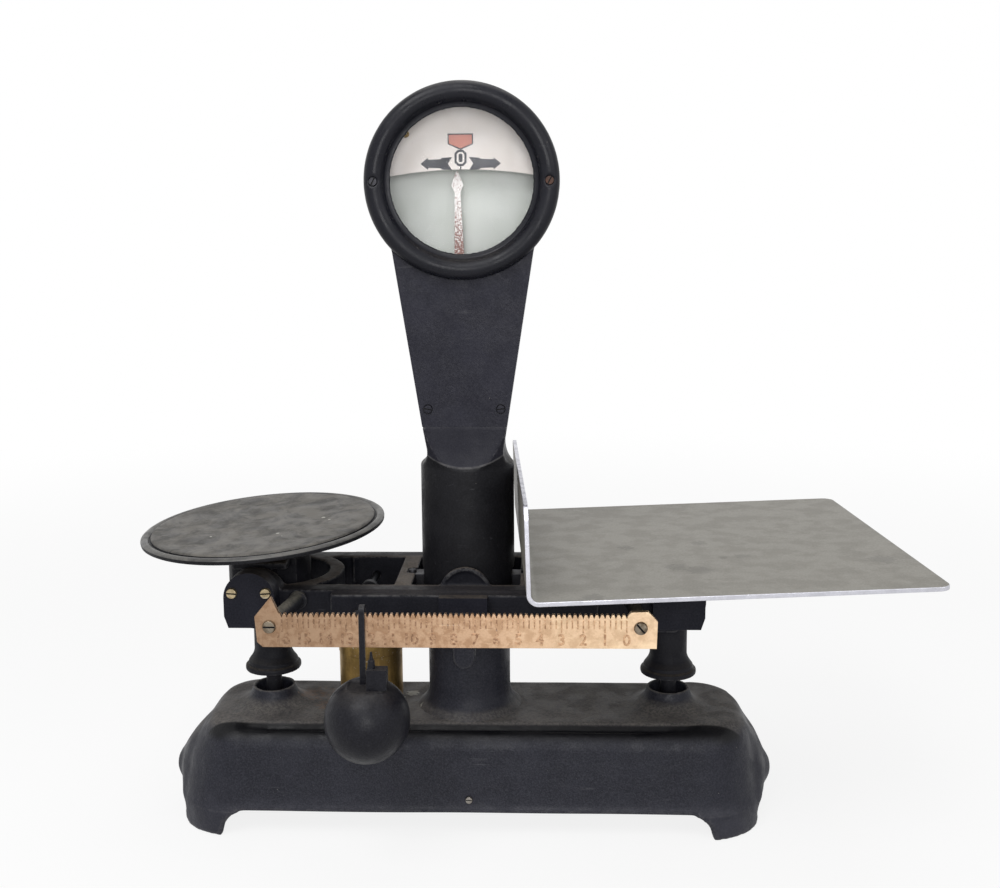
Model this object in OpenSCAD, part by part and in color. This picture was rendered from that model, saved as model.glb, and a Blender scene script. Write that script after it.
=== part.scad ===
// Even-arm counter scale with a tower dial, a round plate, a flat platter and a notched beam with a poise.
// X runs along the beam to the right, Y to the back, Z up; the origin is on the floor under the fulcrum.

/* [Base casting] */
// Distance from the fulcrum to the right end of the base
base_right_l = 192; // [184:1:206]
// Distance from the fulcrum to the left end of the base
base_left_l = 190.5; // [184:0.5:206]
// Half width of the base at the floor
base_half_w = 56; // [52:1:64]
// Plan radius of the base's corners
base_corner_r = 40; // [36:1:46]
// Height of the deck
deck_z = 70; // [66:1:80]
// Thickness of the deck
deck_t = 6; // [4:0.5:8]
// Thickness of the base's side walls
base_wall = 5; // [4:0.5:7]
// How far the side walls lean in below the shoulder
side_lean = 6; // [2:0.5:7]
// Radius of the rounded shoulder
shoulder_r = 16; // [10:0.5:17]
// Height of the lip round the foot of the base
lip_h = 17.5; // [17:0.5:22]
// How far the lip stands out from the side wall above it
lip_step = 1.6; // [0.5:0.1:2.5]
// Height of the cut-outs between the legs
arch_h = 16.5; // [12:0.5:16.5]
// Half length of the front and back cut-outs
arch_half_l = 157; // [145:1:162]
// Radius of the cut-outs' upper corners
arch_r = 15; // [8:1:15]
// Half width of the cut-outs in the two ends
end_arch_half_w = 31; // [24:1:36]
// Height of the cut-outs in the two ends
end_arch_h = 11; // [8:0.5:14]
// Radius of the round nose on each end
lug_r = 16; // [12:0.5:18]
// Width of the hollow flare round the noses
lug_flare = 12; // [4:0.5:14]
// Height of the noses' centre
lug_z = 26; // [25:0.5:32]
// How far the noses stand out past the foot of the base
lug_out = 11; // [6:0.5:14]
// Depth of the crease along the deck's front and back edge
crease_d = 3.6; // [1:0.1:4.5]
// Width of the crease
crease_w = 5.4; // [2:0.1:6]
// Distance of the crease from the deck's flat
crease_in = 3.5; // [1:0.5:5]
// Half length of the crease
crease_half_l = 128; // [110:1:140]

/* [Stem bosses and stems] */
// Distance from the fulcrum to each pan's knife edge
arm_l = 133; // [128:0.5:145]
// Radius of the stem holes in the deck
stem_hole_r = 12.3; // [11:0.1:13]
// Width of the rim round each stem hole
boss_rim_w = 2.3; // [1.5:0.1:3]
// Height of each boss above the deck
boss_h = 11.8; // [8:0.1:13]
// Radius of each boss at its foot
boss_foot_r = 31; // [26:0.5:33]
// Radius of the stems
stem_r = 5.2; // [4:0.1:6.5]
// Radius of the threaded top of the stems
stem_top_r = 4; // [3:0.1:4.5]

/* [Pedestal and column] */
// Radius of the pedestal
pedestal_r = 27.2; // [24:0.1:28.5]
// Wall thickness of the pedestal
pedestal_wall = 6; // [4:0.5:8]
// Radius of the pedestal's foot
pedestal_foot_r = 36; // [32:0.5:37]
// Height of the fillet at the pedestal's foot
pedestal_fillet_h = 14; // [8:0.5:16]
// Radius of the column sleeve
sleeve_r = 30.5; // [29.5:0.1:31]
// Wall thickness of the column sleeve
sleeve_wall = 4.5; // [3.5:0.5:6]
// Height at which the sleeve's cylinder ends and its hood starts
sleeve_top_z = 235; // [228:1:240]
// Height of the flare on the hood's two sides
hood_flare_h = 11; // [6:0.5:14]
// Radius of the bore through the hood
hood_bore_r = 17; // [15:0.5:19]
// Height of the hood's spigot inside the tower
hood_spigot_h = 6; // [4:0.5:8]
// Half width of the yoke's arms and posts
yoke_half_w = 7; // [5.5:0.5:8]
// Thickness of the yoke's posts, front to back
post_t = 6; // [4.5:0.5:7]
// Height of the yoke's underside
yoke_z = 113; // [108:1:116]

/* [Tower] */
// Height of the window's centre
window_z = 414.8; // [405:0.1:430]
// Radius of the tower's head
head_r = 59; // [57:0.5:62]
// Half width of the tower's neck at its foot
neck_foot_hw = 26.8; // [25:0.1:28]
// Height of the neck's foot, on the hood
neck_foot_z = 262; // [258:1:264]
// Angle at which each side of the neck leans out
neck_lean = 8.8; // [6:0.1:9.5]
// Radius of the fillets between neck and head
neck_fillet_r = 18; // [12:1:34]
// Depth of each half of the tower
tower_half_d = 26; // [24:0.5:30]
// Wall thickness of the tower's two shells
shell_t = 3.5; // [2.5:0.5:4.5]
// Thickness of the front shell's face
face_t = 5; // [4.5:0.5:6]
// Radius of the glass
glass_r = 49.5; // [48:0.5:51]
// Thickness of the glass
glass_t = 2; // [1.5:0.1:2.4]
// Thickness of the gasket behind the glass
gasket_t = 1.2; // [0.8:0.1:1.4]
// Width of the ledge that the gasket lies on
ledge_w = 4; // [3:0.5:4.5]
// Radius of the opening in the bezel
bezel_in_r = 44; // [42:0.5:45]
// Radius of the bezel
bezel_r = 60.3; // [59.5:0.1:62]
// Height of the bezel's round bead above the tower's face
bezel_h = 7.6; // [5:0.1:9]
// Half distance between the two neck screws
neck_screw_x = 23; // [22:0.5:24]
// Height of the neck screws
neck_screw_z = 273.3; // [270:0.5:280]
// Radius of the neck screws' heads
neck_screw_r = 2.8; // [2.4:0.1:3.2]

/* [Dial and pointer] */
// Thickness of the dial plates
dial_t = 0.8; // [0.6:0.1:1.2]
// Radius of the dial plates
dial_r = 49; // [47:0.5:50.5]
// Distance of the dial backing behind the beam's centre plane
backing_y = 5; // [4:0.5:8]
// Distance of the chart in front of the beam's centre plane
chart_y = 7.2; // [5:0.2:9]
// Distance from the fulcrum to the chart's lower edge
chart_edge_r = 268.8; // [262:0.2:275]
// Lean of the pointer to the left, in degrees
pointer_lean = 0.98; // [0:0.02:1.5]
// Distance from the fulcrum to the pointer's tip
pointer_l = 268.2; // [255:0.2:268.4]
// Radius of the pointer's stem
pointer_stem_r = 2; // [1.5:0.1:2.5]
// Width of the pointer's arrow head
pointer_head_w = 8; // [6:0.5:10]
// Width of the pointer's blade under the arrow head
pointer_neck_w = 3.8; // [2.5:0.1:5]
// Width of the pointer's blade at its foot
pointer_foot_w = 7; // [5:0.5:8]

/* [Beam] */
// Height of all three knife edges
knife_z = 154; // [152:0.5:156]
// Distance from the centre plane to the inside of each rail
rail_in_y = 33; // [32.5:0.5:35]
// Thickness of the rails
rail_t = 13; // [10:0.5:14]
// Height of the rails' underside
rail_bottom_z = 134; // [132:0.5:137]
// Height of the ribs' underside
rib_bottom_z = 143; // [138:0.5:144]
// Height of the rails' top
rail_top_z = 161.3; // [160:0.1:164]
// How far the lip on each rail stands out
rail_lip = 6; // [3:0.5:7]
// Height of that lip's underside
rail_lip_bottom_z = 140; // [136:0.5:144]
// Drop of that lip below the rail's top
rail_lip_drop = 1.5; // [0.5:0.1:3]
// Half length of that lip
rail_lip_half_l = 84; // [70:1:95]
// Radius of the eyes at the ends of the rails
eye_r = 18.5; // [17.5:0.1:19]
// Radius of the round ears over the fulcrum
ear_r = 16.6; // [15.5:0.1:17.5]
// Height of the ears' centre above the knife edge
ear_up = 2.5; // [1:0.5:4]
// Near edge of the straight ribs
rib_near_x = 34.5; // [34:0.5:36]
// Far edge of the straight ribs
rib_far_x = 46; // [43:0.5:50]
// Near edge of the curved ribs
curved_rib_near_x = 84; // [80:0.5:86]
// Far edge of the curved ribs
curved_rib_far_x = 97; // [94:0.5:98]
// Radius of the curved ribs' inner corners
rib_fillet_r = 9; // [5:0.5:12]

/* [Knife edges and bearings] */
// Half width of the knife edges
knife_hw = 3; // [2.5:0.1:3.5]
// Height of the knife edges' sloping flanks
knife_flank_h = 3.5; // [2.5:0.1:4]
// Height of the straight part of the end knife edges
knife_back_h = 4.5; // [3:0.5:6]
// Depth of the V notch in the bearings
notch_d = 1.5; // [1:0.1:1.8]
// Half width of the V notch at its mouth
notch_hw = 3.4; // [3:0.1:4]
// Radius of the bearings' shanks
shank_r = 2.5; // [2:0.1:2.6]

/* [Covers and housings] */
// Half width of the bearing covers
cover_hw = 16; // [15.5:0.1:17]
// Height of the bearing covers' underside
cover_bottom_z = 140.8; // [140:0.1:142.5]
// Height of the bearing covers' top
cover_top_z = 176; // [174:0.1:178]
// How far the covers stand out from the rails
cover_d = 14; // [11:0.5:15]
// Wall thickness of the covers
cover_t = 3; // [2:0.5:4]
// Half distance between a cover's two screws
cover_screw_x = 10.6; // [10:0.1:11]
// Height of the cover screws
cover_screw_z = 163.3; // [162:0.1:164.5]
// Radius of the cover screws' heads
cover_screw_r = 3.5; // [3:0.1:3.8]
// Half width of the centre knife housings
housing_hw = 15; // [14:0.5:15.5]

/* [Pan supports] */
// Half width of a support's top flange
flange_hw = 17.5; // [16:0.5:19]
// Half length of a support's top flange, front to back
flange_hl = 31; // [30.5:0.5:32]
// Height of the flange's top
flange_z = 174.3; // [173.9:0.1:174.3]
// Thickness of the flange
flange_t = 4.5; // [3.5:0.5:6]
// Radius of a support's hub
hub_r = 27; // [24:0.5:29]
// Half width of the hub, front to back
hub_hw = 17; // [14:0.5:19]
// Radius of a support's neck
neck_r = 12.3; // [11:0.1:13.5]
// Radius of the bell
bell_r = 17.6; // [16.5:0.1:19]
// Wall thickness of the bell
bell_wall = 2.2; // [1.5:0.1:2.3]
// Height of the bell's rim
bell_z = 91.5; // [91:0.5:94]
// Height of the bell
bell_h = 13.5; // [11:0.5:15]
// How much higher the left bell hangs
left_bell_up = 2; // [0:0.1:3]
// Radius of the socket in a support's top
socket_r = 14; // [12:0.5:15]
// Depth of that socket
socket_d = 7; // [5:0.5:9]

/* [Check link] */
// Height of the check link's pivot
link_z = 40; // [38:0.5:42]
// Height of the check link's bar
link_h = 14; // [12:0.5:15]
// Thickness of the check link's bar
link_t = 10; // [8:0.5:11]
// Radius of the link's middle pin
link_pin_r = 3; // [2.5:0.1:3.5]
// Radius of the pins through the stems
stem_pin_r = 2.2; // [1.8:0.1:2.4]
// Play of the stem pins in the link's forks
fork_play = 0.8; // [0.5:0.1:1]

/* [Dashpot] */
// Distance of the dashpot from the fulcrum
dashpot_x = 66.5; // [64:0.5:67]
// Outer radius of the dashpot's cylinder
dashpot_r = 21; // [19:0.5:21.5]
// Wall thickness of the dashpot's cylinder
dashpot_wall = 1.2; // [1:0.1:2]
// Height of the cylinder
dashpot_h = 37; // [32:1:38]
// Height of the cap
dashpot_cap_h = 11; // [8:0.5:12]
// Height of the cross pin that the plunger hangs on
cross_pin_z = 148; // [147.5:0.5:150]
// Radius of that cross pin
cross_pin_r = 2.5; // [2:0.1:2.8]
// Radius of the plunger's rod
plunger_rod_r = 2.4; // [2:0.1:3]

/* [Notched bar] */
// Distance of the bar's front face from the centre plane
bar_y = 96; // [92:0.5:100]
// Thickness of the bar
bar_t = 3.2; // [2.4:0.1:4]
// Height of the bar's lower edge
bar_bottom_z = 141.5; // [140:0.5:143]
// Height of the tooth crests
crest_z = 162; // [161:0.1:163]
// Depth of the notches
tooth_d = 2.4; // [1.5:0.1:2.8]
// Distance between notches
tooth_pitch = 3.175; // [3.1:0.005:3.2]
// Number of notches
teeth = 64; // [48:1:64]
// Place of the bar's zero notch
bar_zero_x = 98.4; // [98:0.1:98.6]
// Right end of the bar
bar_right_x = 116; // [114:0.5:118]
// Left end of the bar
bar_left_x = -121; // [-123:0.5:-120]
// Left bar screw
bar_screw_left_x = -112.4; // [-113:0.1:-112]
// Right bar screw
bar_screw_right_x = 106.6; // [106:0.1:107]
// Height of the bar screws
bar_screw_z = 154; // [152:0.5:155]
// Radius of the bar screws' heads
bar_screw_r = 4.1; // [3.5:0.1:4.4]
// Radius of the round arms that carry the bar
bar_arm_r = 4.9; // [4:0.1:5]

/* [Poise] */
// Reading at which the poise hangs
poise_reading = 12.25; // [0:0.25:15.75]
// Radius of the poise's ball
poise_r = 25.6; // [22:0.1:28]
// Height of the ball's centre
poise_z = 98; // [94:0.5:99]
// How far the ball's centre is in front of the bar's face
poise_front = 3; // [2:0.5:5]
// Width of the strap
strap_w = 3.6; // [2.5:0.1:4]
// Thickness of the strap
strap_t = 1.4; // [1:0.1:1.8]
// Height of the flat floor of the ball's notch
poise_notch_z = 119.5; // [117:0.5:120]

/* [Round plate] */
// Radius of the round plate
plate_r = 79.8; // [76:0.1:84]
// Height of the plate's centre
plate_z = 193; // [193:0.1:196]
// Place of the plate's centre, left of its support's centre
plate_shift = 3; // [0:0.5:3]
// Tilt of the plate, right side up, in degrees
plate_tilt = 3.36; // [0:0.02:3.4]
// Tilt of the plate, back up, in degrees
plate_tilt_back = 2.22; // [0:0.02:2.3]
// Width of the ring round the plate's raised middle
plate_ring_w = 6.5; // [4:0.5:9]
// Depth of the step between middle and ring
plate_step = 1.2; // [0.6:0.1:2]
// Thickness of the plate's edge
plate_edge_t = 3.4; // [3:0.1:6]
// Radius of the hub under the plate
plate_hub_r = 26; // [22:1:27]

/* [Platter] */
// Length of the platter along the beam
platter_l = 236.9; // [220:0.1:250]
// Width of the platter, front to back
platter_w = 240.8; // [225:0.1:246]
// Thickness of the platter's sheet
platter_t = 2.6; // [2:0.1:3]
// Height of the platter's upright side
platter_side_h = 54.6; // [45:0.1:62]
// Radius of the bend
platter_bend_r = 7; // [5:0.5:9]
// Radius of the platter's corners
platter_corner_r = 8; // [5:0.5:14]
// Distance of the upright side from the fulcrum, at the front
platter_x = 43; // [42:0.1:46]
// Distance of the platter's front left corner in front of the fulcrum
platter_front = 127.5; // [115:0.5:130]
// Height of the platter's front left corner
platter_z = 179.1; // [179:0.1:182]
// Tilt of the platter, right side up, in degrees
platter_tilt = 1.6; // [0:0.02:2]
// Tilt of the platter, back down, in degrees
platter_tilt_back = 0.8; // [0:0.02:1]
// Turn of the platter, seen from above, in degrees
platter_turn = 2.9; // [0:0.02:3]

/* [Fits] */
// Radial clearance of pins that turn
run_c = 0.05; // [0.02:0.01:0.1]
// Radial clearance of parts that are pushed or screwed together
seat_c = 0.02; // [0.01:0.01:0.05]
// Gap between loose parts that rest on each other
rest_gap = 0.3; // [0.2:0.05:0.4]
// Clearance between shells, caps and what is inside them
part_c = 0.5; // [0.3:0.1:1]

/* [Hidden] */
$fn = 96;
eps = 0.01;
iron = "#2c2d35";
dusty_iron = "#4a4945";
brass = "#a98a4a";
copper_brass = "#c8a073";
steel = "#8f9096";
sheet = "#96938a";
pale = "#d8cecb";

// Derived heights and places
lower_z = deck_z - deck_t;
deck_half_w = base_half_w - side_lean - shoulder_r;
corner_x = [base_right_l - base_corner_r, base_left_l - base_corner_r];
boss_rim_r = stem_hole_r + boss_rim_w;
rail_out_y = rail_in_y + rail_t;
cover_out_y = rail_out_y + cover_d;
sleeve_bottom_z = rail_bottom_z;
sleeve_in_r = sleeve_r - sleeve_wall;
spigot_h = 4;
face_y = -tower_half_d;
ear_z = knife_z + ear_up;
pocket_d = gasket_t + glass_t + 0.2;
pocket_r = glass_r + part_c;
bead_r = (bezel_r - bezel_in_r) * 0.39;
bead_centre_r = bezel_r - bead_r;
bezel_screw_x = bead_centre_r;
bezel_head_r = 2.8;
bezel_shank_r = 1.6;
bridge_hw = 6;
bridge_bottom_z = knife_z - 4;
bridge_top_z = knife_z + 6;
bridge_h = bridge_top_z - bridge_bottom_z;
bridge_half_l = rib_near_x + 6;
post_y = cover_out_y - 2.5 - 2 - post_t / 2;
post_top_z = knife_z - 8;
link_cheek_in = stem_r + 1;
link_cheek_t = 3.5;
bar_back_y = -bar_y + bar_t;
poise_x = bar_zero_x - poise_reading * 4 * tooth_pitch;
poise_y = -bar_y - poise_front;
bell_inner_r = bell_r - bell_wall;
stem_top_z = bell_z + bell_h + 12;
function bell_rim_z(side) = bell_z + (side < 0 ? left_bell_up : 0);
function stem_shoulder_z(side) = bell_rim_z(side) + 7;
stem_bottom_z = link_z - 7;

// Children moved up by z
module up(z) {
    translate([0, 0, z])
        children();
}

// Section of the base from its middle to its wall: lip, leaning side and round shoulder
module skirt_section(r, top, round_r) {
    side_r = r - side_lean;
    polygon([
        [0, 0], [r, 0], [r, lip_h], [r - lip_step, lip_h + lip_step * 2], [side_r, top - round_r],
        [0, top - round_r]]);
    translate([side_r - round_r, top - round_r])
        circle(round_r);
    square([side_r - round_r, top]);
}

// A quarter turn of the section in each corner, joined by straight runs, with a filled middle
module turned_oblong(r, top, round_r) {
    cy = base_half_w - base_corner_r;
    for (sx = [0, 1], sy = [0, 1])
        mirror([sx, 0, 0])
        mirror([0, sy, 0])
        translate([corner_x[sx], cy, 0])
        rotate_extrude(angle = 90)
        skirt_section(r, top, round_r);
    for (s = [0, 1]) {
        mirror([0, s, 0])
            translate([-corner_x[1], cy, 0])
            rotate([90, 0, 90])
            linear_extrude(corner_x[0] + corner_x[1])
            skirt_section(r, top, round_r);
        mirror([s, 0, 0])
            translate([corner_x[s], cy, 0])
            rotate([90, 0, 0])
            linear_extrude(2 * cy)
            skirt_section(r, top, round_r);
    }
    translate([-corner_x[1], -cy, 0])
        cube([corner_x[0] + corner_x[1], 2 * cy, top]);
}

// Round nose with a hollow flare, pointing along X from the plane of the foot of the base
module end_nose() {
    centre_x = lug_out - lug_r;
    flare_at = 50;
    rim = [centre_x + lug_r * cos(flare_at), lug_r * sin(flare_at)];
    rotate([0, 90, 0])
        rotate_extrude()
        polygon(concat(
            [[0, centre_x + lug_r]],
            [for (a = [10 : 10 : flare_at]) [lug_r * sin(a), centre_x + lug_r * cos(a)]],
            [for (a = [30 : 30 : 90])
                [rim[1] + lug_flare * (1 - cos(a)), rim[0] - (rim[0] + nose_root) * sin(a)]],
            [[rim[1] + lug_flare, -nose_root - 8], [0, -nose_root - 8]]));
}
nose_root = 4;

// Opening with two rounded upper corners, standing on the floor, drawn in its own plane
module arch(half_l, h, r) {
    translate([-half_l, -1])
        square([2 * half_l, h - r + 1]);
    translate([-half_l + r, -1])
        square([2 * (half_l - r), h + 1]);
    for (s = [-1, 1])
        translate([s * (half_l - r), h - r])
        circle(r);
}

// Boss with a hollow flare from its rim down to the deck
module stem_boss() {
    run = boss_foot_r - boss_rim_r;
    rotate_extrude()
        polygon(concat(
            [[0, lower_z], [boss_foot_r, lower_z], [boss_foot_r, deck_z]],
            [for (b = [75 : -15 : 0])
                [boss_foot_r - run * cos(b), deck_z + boss_h - 1.5 - (boss_h - 1.5) * sin(b)]],
            [[boss_rim_r, deck_z + boss_h], [0, deck_z + boss_h]]));
}

// Bracket under the deck that carries the check link's pin
module link_ears() {
    for (s = [-1, 1])
        translate([0, s * (link_t / 2 + 2 + part_c) - 2.5 + s * 2.5, 0])
        difference() {
            union() {
                translate([-9, 0, link_z])
                    cube([18, 5, lower_z - link_z + 1]);
                translate([0, 5, link_z])
                    rotate([90, 0, 0])
                    cylinder(r = 9, h = 5);
            }
            translate([0, 6, link_z])
                rotate([90, 0, 0])
                cylinder(r = link_pin_r + seat_c, h = 7);
        }
}

module base_casting() {
    color(iron) difference() {
        union() {
            turned_oblong(base_corner_r, deck_z, shoulder_r);
            for (s = [0, 1])
                mirror([s, 0, 0]) {
                    translate([corner_x[s] + base_corner_r, 0, lug_z])
                        end_nose();
                    translate([arm_l, 0, 0])
                        stem_boss();
                }
        }
        difference() {
            up(-eps)
                turned_oblong(base_corner_r - base_wall, lower_z, shoulder_r - base_wall);
            link_ears();
        }
        for (s = [-1, 1])
            translate([s * arm_l, 0, lower_z - 1])
            cylinder(r = stem_hole_r, h = boss_h + deck_t + 2);
        translate([0, base_half_w + 1, 0])
            rotate([90, 0, 0])
            linear_extrude(2 * base_half_w + 2)
            arch(arch_half_l, arch_h, arch_r);
        for (s = [0, 1])
            mirror([s, 0, 0])
            translate([corner_x[s], 0, 0])
            rotate([90, 0, 90])
            linear_extrude(base_corner_r + 1)
            arch(end_arch_half_w, end_arch_h, end_arch_h - 2);
        for (s = [0, 1])
            mirror([0, s, 0])
            deck_crease();
        for (a = [45 : 90 : 315])
            rotate(a)
            translate([pedestal_bolt_at, 0, lower_z - 1])
            cylinder(r = bolt_r + part_c, h = deck_t + 2);
        at_base_screw() {
            up(-12)
                cylinder(r = base_screw_shank_r + seat_c, h = 13);
            cylinder(r = base_screw_head_r + run_c, h = 5);
        }
    }
}

// Shadow line where the deck's long edge meets the rounded shoulder
module deck_crease() {
    edge_y = deck_half_w + crease_in;
    rotate([90, 0, 90])
        up(-crease_half_l)
        linear_extrude(2 * crease_half_l)
        crease_section(edge_y);
    for (s = [0, 1])
        mirror([s, 0, 0])
        hull() {
            translate([crease_half_l, 0, 0])
                rotate([90, 0, 90])
                linear_extrude(eps)
                crease_section(edge_y);
            translate([crease_half_l + 30, edge_y + 2, deck_z + 1])
                cube([eps, 4, 1]);
        }
}

module crease_section(edge_y) {
    polygon([
        [edge_y, deck_z + 2], [edge_y, deck_z - crease_d], [edge_y + 1.2, deck_z - crease_d - 0.4],
        [edge_y + crease_w, deck_z - 1], [edge_y + crease_w, deck_z + 2]]);
}

// Slotted round head with its shank, standing on the plane z = 0 with the shank below
module slotted_screw(head_r, head_h, shank_r, shank_l, turn = 0) {
    difference() {
        cylinder(r1 = head_r, r2 = head_r * 0.86, h = head_h);
        rotate(turn)
            translate([-head_r - 1, -head_r * 0.13, head_h * 0.45])
            cube([2 * head_r + 2, head_r * 0.26, head_h]);
    }
    up(-shank_l)
        cylinder(r = shank_r, h = shank_l + eps);
}

base_screw_z = 25.4;
base_screw_shank_r = 1.5;
base_screw_head_r = 2.4;
base_screw_drop = (base_screw_z - lip_h - 2 * lip_step) / (deck_z - shoulder_r - lip_h - 2 * lip_step);
base_screw_face = base_half_w - lip_step - (side_lean - lip_step) * base_screw_drop - 0.4;
module at_base_screw() {
    translate([2, -base_screw_face, base_screw_z])
        rotate([90, 0, 0])
        children();
}

module base_screw() {
    color(steel)
        at_base_screw()
        slotted_screw(base_screw_head_r, 1.3, base_screw_shank_r, 9);
}

bolt_r = 2;
bolt_head_h = 4;
pedestal_bolt_at = pedestal_r - pedestal_wall / 2;
module pedestal_bolts() {
    color(steel)
        for (a = [45 : 90 : 315])
        rotate(a)
        translate([pedestal_bolt_at, 0, 0]) {
            up(lower_z - bolt_head_h)
                cylinder(r = bolt_r + 1.8, h = bolt_head_h, $fn = 6);
            up(lower_z - eps)
                cylinder(r = bolt_r, h = deck_t + 8);
        }
}

// Turned pedestal with a filleted foot, and the yoke whose posts carry the centre bearings
module pedestal() {
    foot_run = pedestal_foot_r - pedestal_r;
    in_r = pedestal_r - pedestal_wall;
    rim_z = deck_z + 0.8;
    color(iron) difference() {
        union() {
            rotate_extrude()
                polygon(concat(
                    [[in_r, deck_z], [pedestal_foot_r, deck_z], [pedestal_foot_r, rim_z]],
                    [for (b = [75 : -15 : 0])
                        [pedestal_foot_r - foot_run * cos(b),
                            rim_z + pedestal_fillet_h * (1 - sin(b))]],
                    [[pedestal_r, sleeve_bottom_z], [sleeve_in_r - seat_c, sleeve_bottom_z],
                        [sleeve_in_r - seat_c, sleeve_bottom_z + spigot_h],
                        [in_r, sleeve_bottom_z + spigot_h]]));
            for (s = [0, 1])
                mirror([0, s, 0])
                yoke_arm(in_r);
        }
        for (s = [-1, 1])
            translate([0, s * post_y, post_top_z - 8])
            cylinder(r = shank_r + seat_c, h = 9);
        for (a = [45 : 90 : 315])
            rotate(a)
            translate([pedestal_bolt_at, 0, deck_z - 1])
            cylinder(r = bolt_r + seat_c, h = 9);
    }
}

module yoke_arm(start_y) {
    translate([0, start_y + 1, 0])
        rotate([-90, 0, 0])
        linear_extrude(post_y + post_t / 2 - start_y - 1) {
            translate([0, -yoke_z - yoke_half_w])
                circle(yoke_half_w);
            translate([-yoke_half_w, -yoke_z - 16])
                square([2 * yoke_half_w, 16 - yoke_half_w]);
        }
    translate([-yoke_half_w, post_y - post_t / 2, yoke_z + yoke_half_w])
        cube([2 * yoke_half_w, post_t, post_top_z - yoke_z - yoke_half_w]);
}

// Half of a hollow flare that widens downwards from half width hw to the sleeve's radius
function flare_points(hw, h) = [for (a = [0 : 15 : 90])
    [sleeve_r - (sleeve_r - hw) * sin(a), sleeve_top_z + h * (1 - cos(a))]];
module hood_side(hw, h, top_hw) {
    right = concat(flare_points(hw, h), [[top_hw, neck_foot_z]]);
    n = len(right) - 1;
    linear_extrude(4 * sleeve_r, center = true)
        polygon(concat(
            [[-sleeve_r, sleeve_bottom_z + 30], [sleeve_r, sleeve_bottom_z + 30]], right,
            [for (k = [n : -1 : 0]) [-right[k][0], right[k][1]]]));
}

// Column sleeve with slots for the pointer bridge and a hood that turns its round into the tower's neck
module column_sleeve() {
    corner_r = norm([neck_foot_hw, tower_half_d]) + 0.2;
    side_hw = neck_foot_hw - (neck_foot_z - sleeve_top_z - hood_flare_h) * tan(neck_lean);
    color(iron) difference() {
        union() {
            up(sleeve_bottom_z)
                cylinder(r = sleeve_r, h = sleeve_top_z - sleeve_bottom_z);
            intersection() {
                rotate([90, 0, 0])
                    hood_side(side_hw, hood_flare_h, neck_foot_hw);
                rotate([90, 0, 90])
                    hood_side(tower_half_d, neck_foot_z - sleeve_top_z - 1, tower_half_d);
                up(sleeve_top_z)
                    cylinder(r1 = sleeve_r, r2 = corner_r, h = neck_foot_z - sleeve_top_z);
            }
            translate([-hood_spigot_hw, -tower_half_d + face_t + seat_c, neck_foot_z - eps])
                cube([2 * hood_spigot_hw, 2 * tower_half_d - face_t - shell_t - 2 * seat_c, hood_spigot_h]);
        }
        up(sleeve_bottom_z - 1)
            cylinder(r = sleeve_in_r, h = sleeve_top_z - sleeve_bottom_z + 1);
        up(sleeve_top_z - eps)
            cylinder(r1 = sleeve_in_r, r2 = hood_bore_r, h = 14);
        up(sleeve_top_z)
            cylinder(r = hood_bore_r, h = neck_foot_z - sleeve_top_z + hood_spigot_h + 1);
        translate([-sleeve_r - 1, -bridge_hw - 2.5, bridge_bottom_z - 3.5])
            cube([2 * sleeve_r + 2, 2 * bridge_hw + 5, bridge_top_z - bridge_bottom_z + 8]);
    }
}
hood_spigot_hw = neck_foot_hw - shell_t / cos(neck_lean) - seat_c;

// V block with a round shank, notch upwards, resting on the plane of its shank's shoulder
module v_block(half_w, thick, body_h) {
    rotate([90, 0, 0])
        up(-thick / 2)
        linear_extrude(thick)
        polygon([
            [-half_w, 0], [half_w, 0], [half_w, body_h + notch_d], [notch_hw, body_h + notch_d],
            [0, body_h - run_c], [-notch_hw, body_h + notch_d], [-half_w, body_h + notch_d]]);
    up(-7)
        cylinder(r = shank_r, h = 7 + eps);
}

module centre_bearings() {
    color(steel)
        for (s = [-1, 1])
        translate([0, s * post_y, post_top_z])
        v_block(yoke_half_w, post_t, knife_z - post_top_z);
}

// Points of the tower's keyhole outline, i inside the outer face
function outline_s(r, f, x0) =
    let (bx = x0 + f * cos(neck_lean), bz = neck_foot_z - f * sin(neck_lean) - window_z,
        p = bx * sin(neck_lean) + bz * cos(neck_lean), q = bx * bx + bz * bz - (r + f) * (r + f))
    -p - sqrt(p * p - q);
function tower_half(i) =
    let (r = head_r - i, f = neck_fillet_r + i, x0 = neck_foot_hw - i / cos(neck_lean),
        s = outline_s(r, f, x0),
        cx = x0 + s * sin(neck_lean) + f * cos(neck_lean),
        cz = neck_foot_z + s * cos(neck_lean) - f * sin(neck_lean),
        a0 = 180 - neck_lean, a1 = atan2(window_z - cz, -cx), turn = (a0 - a1) / 6,
        h0 = a1 - 180, turn_h = (90 - h0) / 40)
    concat(
        [[x0, neck_foot_z]],
        [for (k = [0 : 6]) [cx + f * cos(a0 - turn * k), cz + f * sin(a0 - turn * k)]],
        [for (k = [1 : 40]) [r * cos(h0 + turn_h * k), window_z + r * sin(h0 + turn_h * k)]]);
module tower_outline(i) {
    right = tower_half(i);
    n = len(right) - 1;
    polygon(concat(right, [for (k = [n - 1 : -1 : 0]) [-right[k][0], right[k][1]]]));
}

// A flat slice of the tower between two distances from the front
module tower_slice(i, y0, y1) {
    translate([0, y1, 0])
        rotate([90, 0, 0])
        linear_extrude(y1 - y0)
        tower_outline(i);
}

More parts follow.
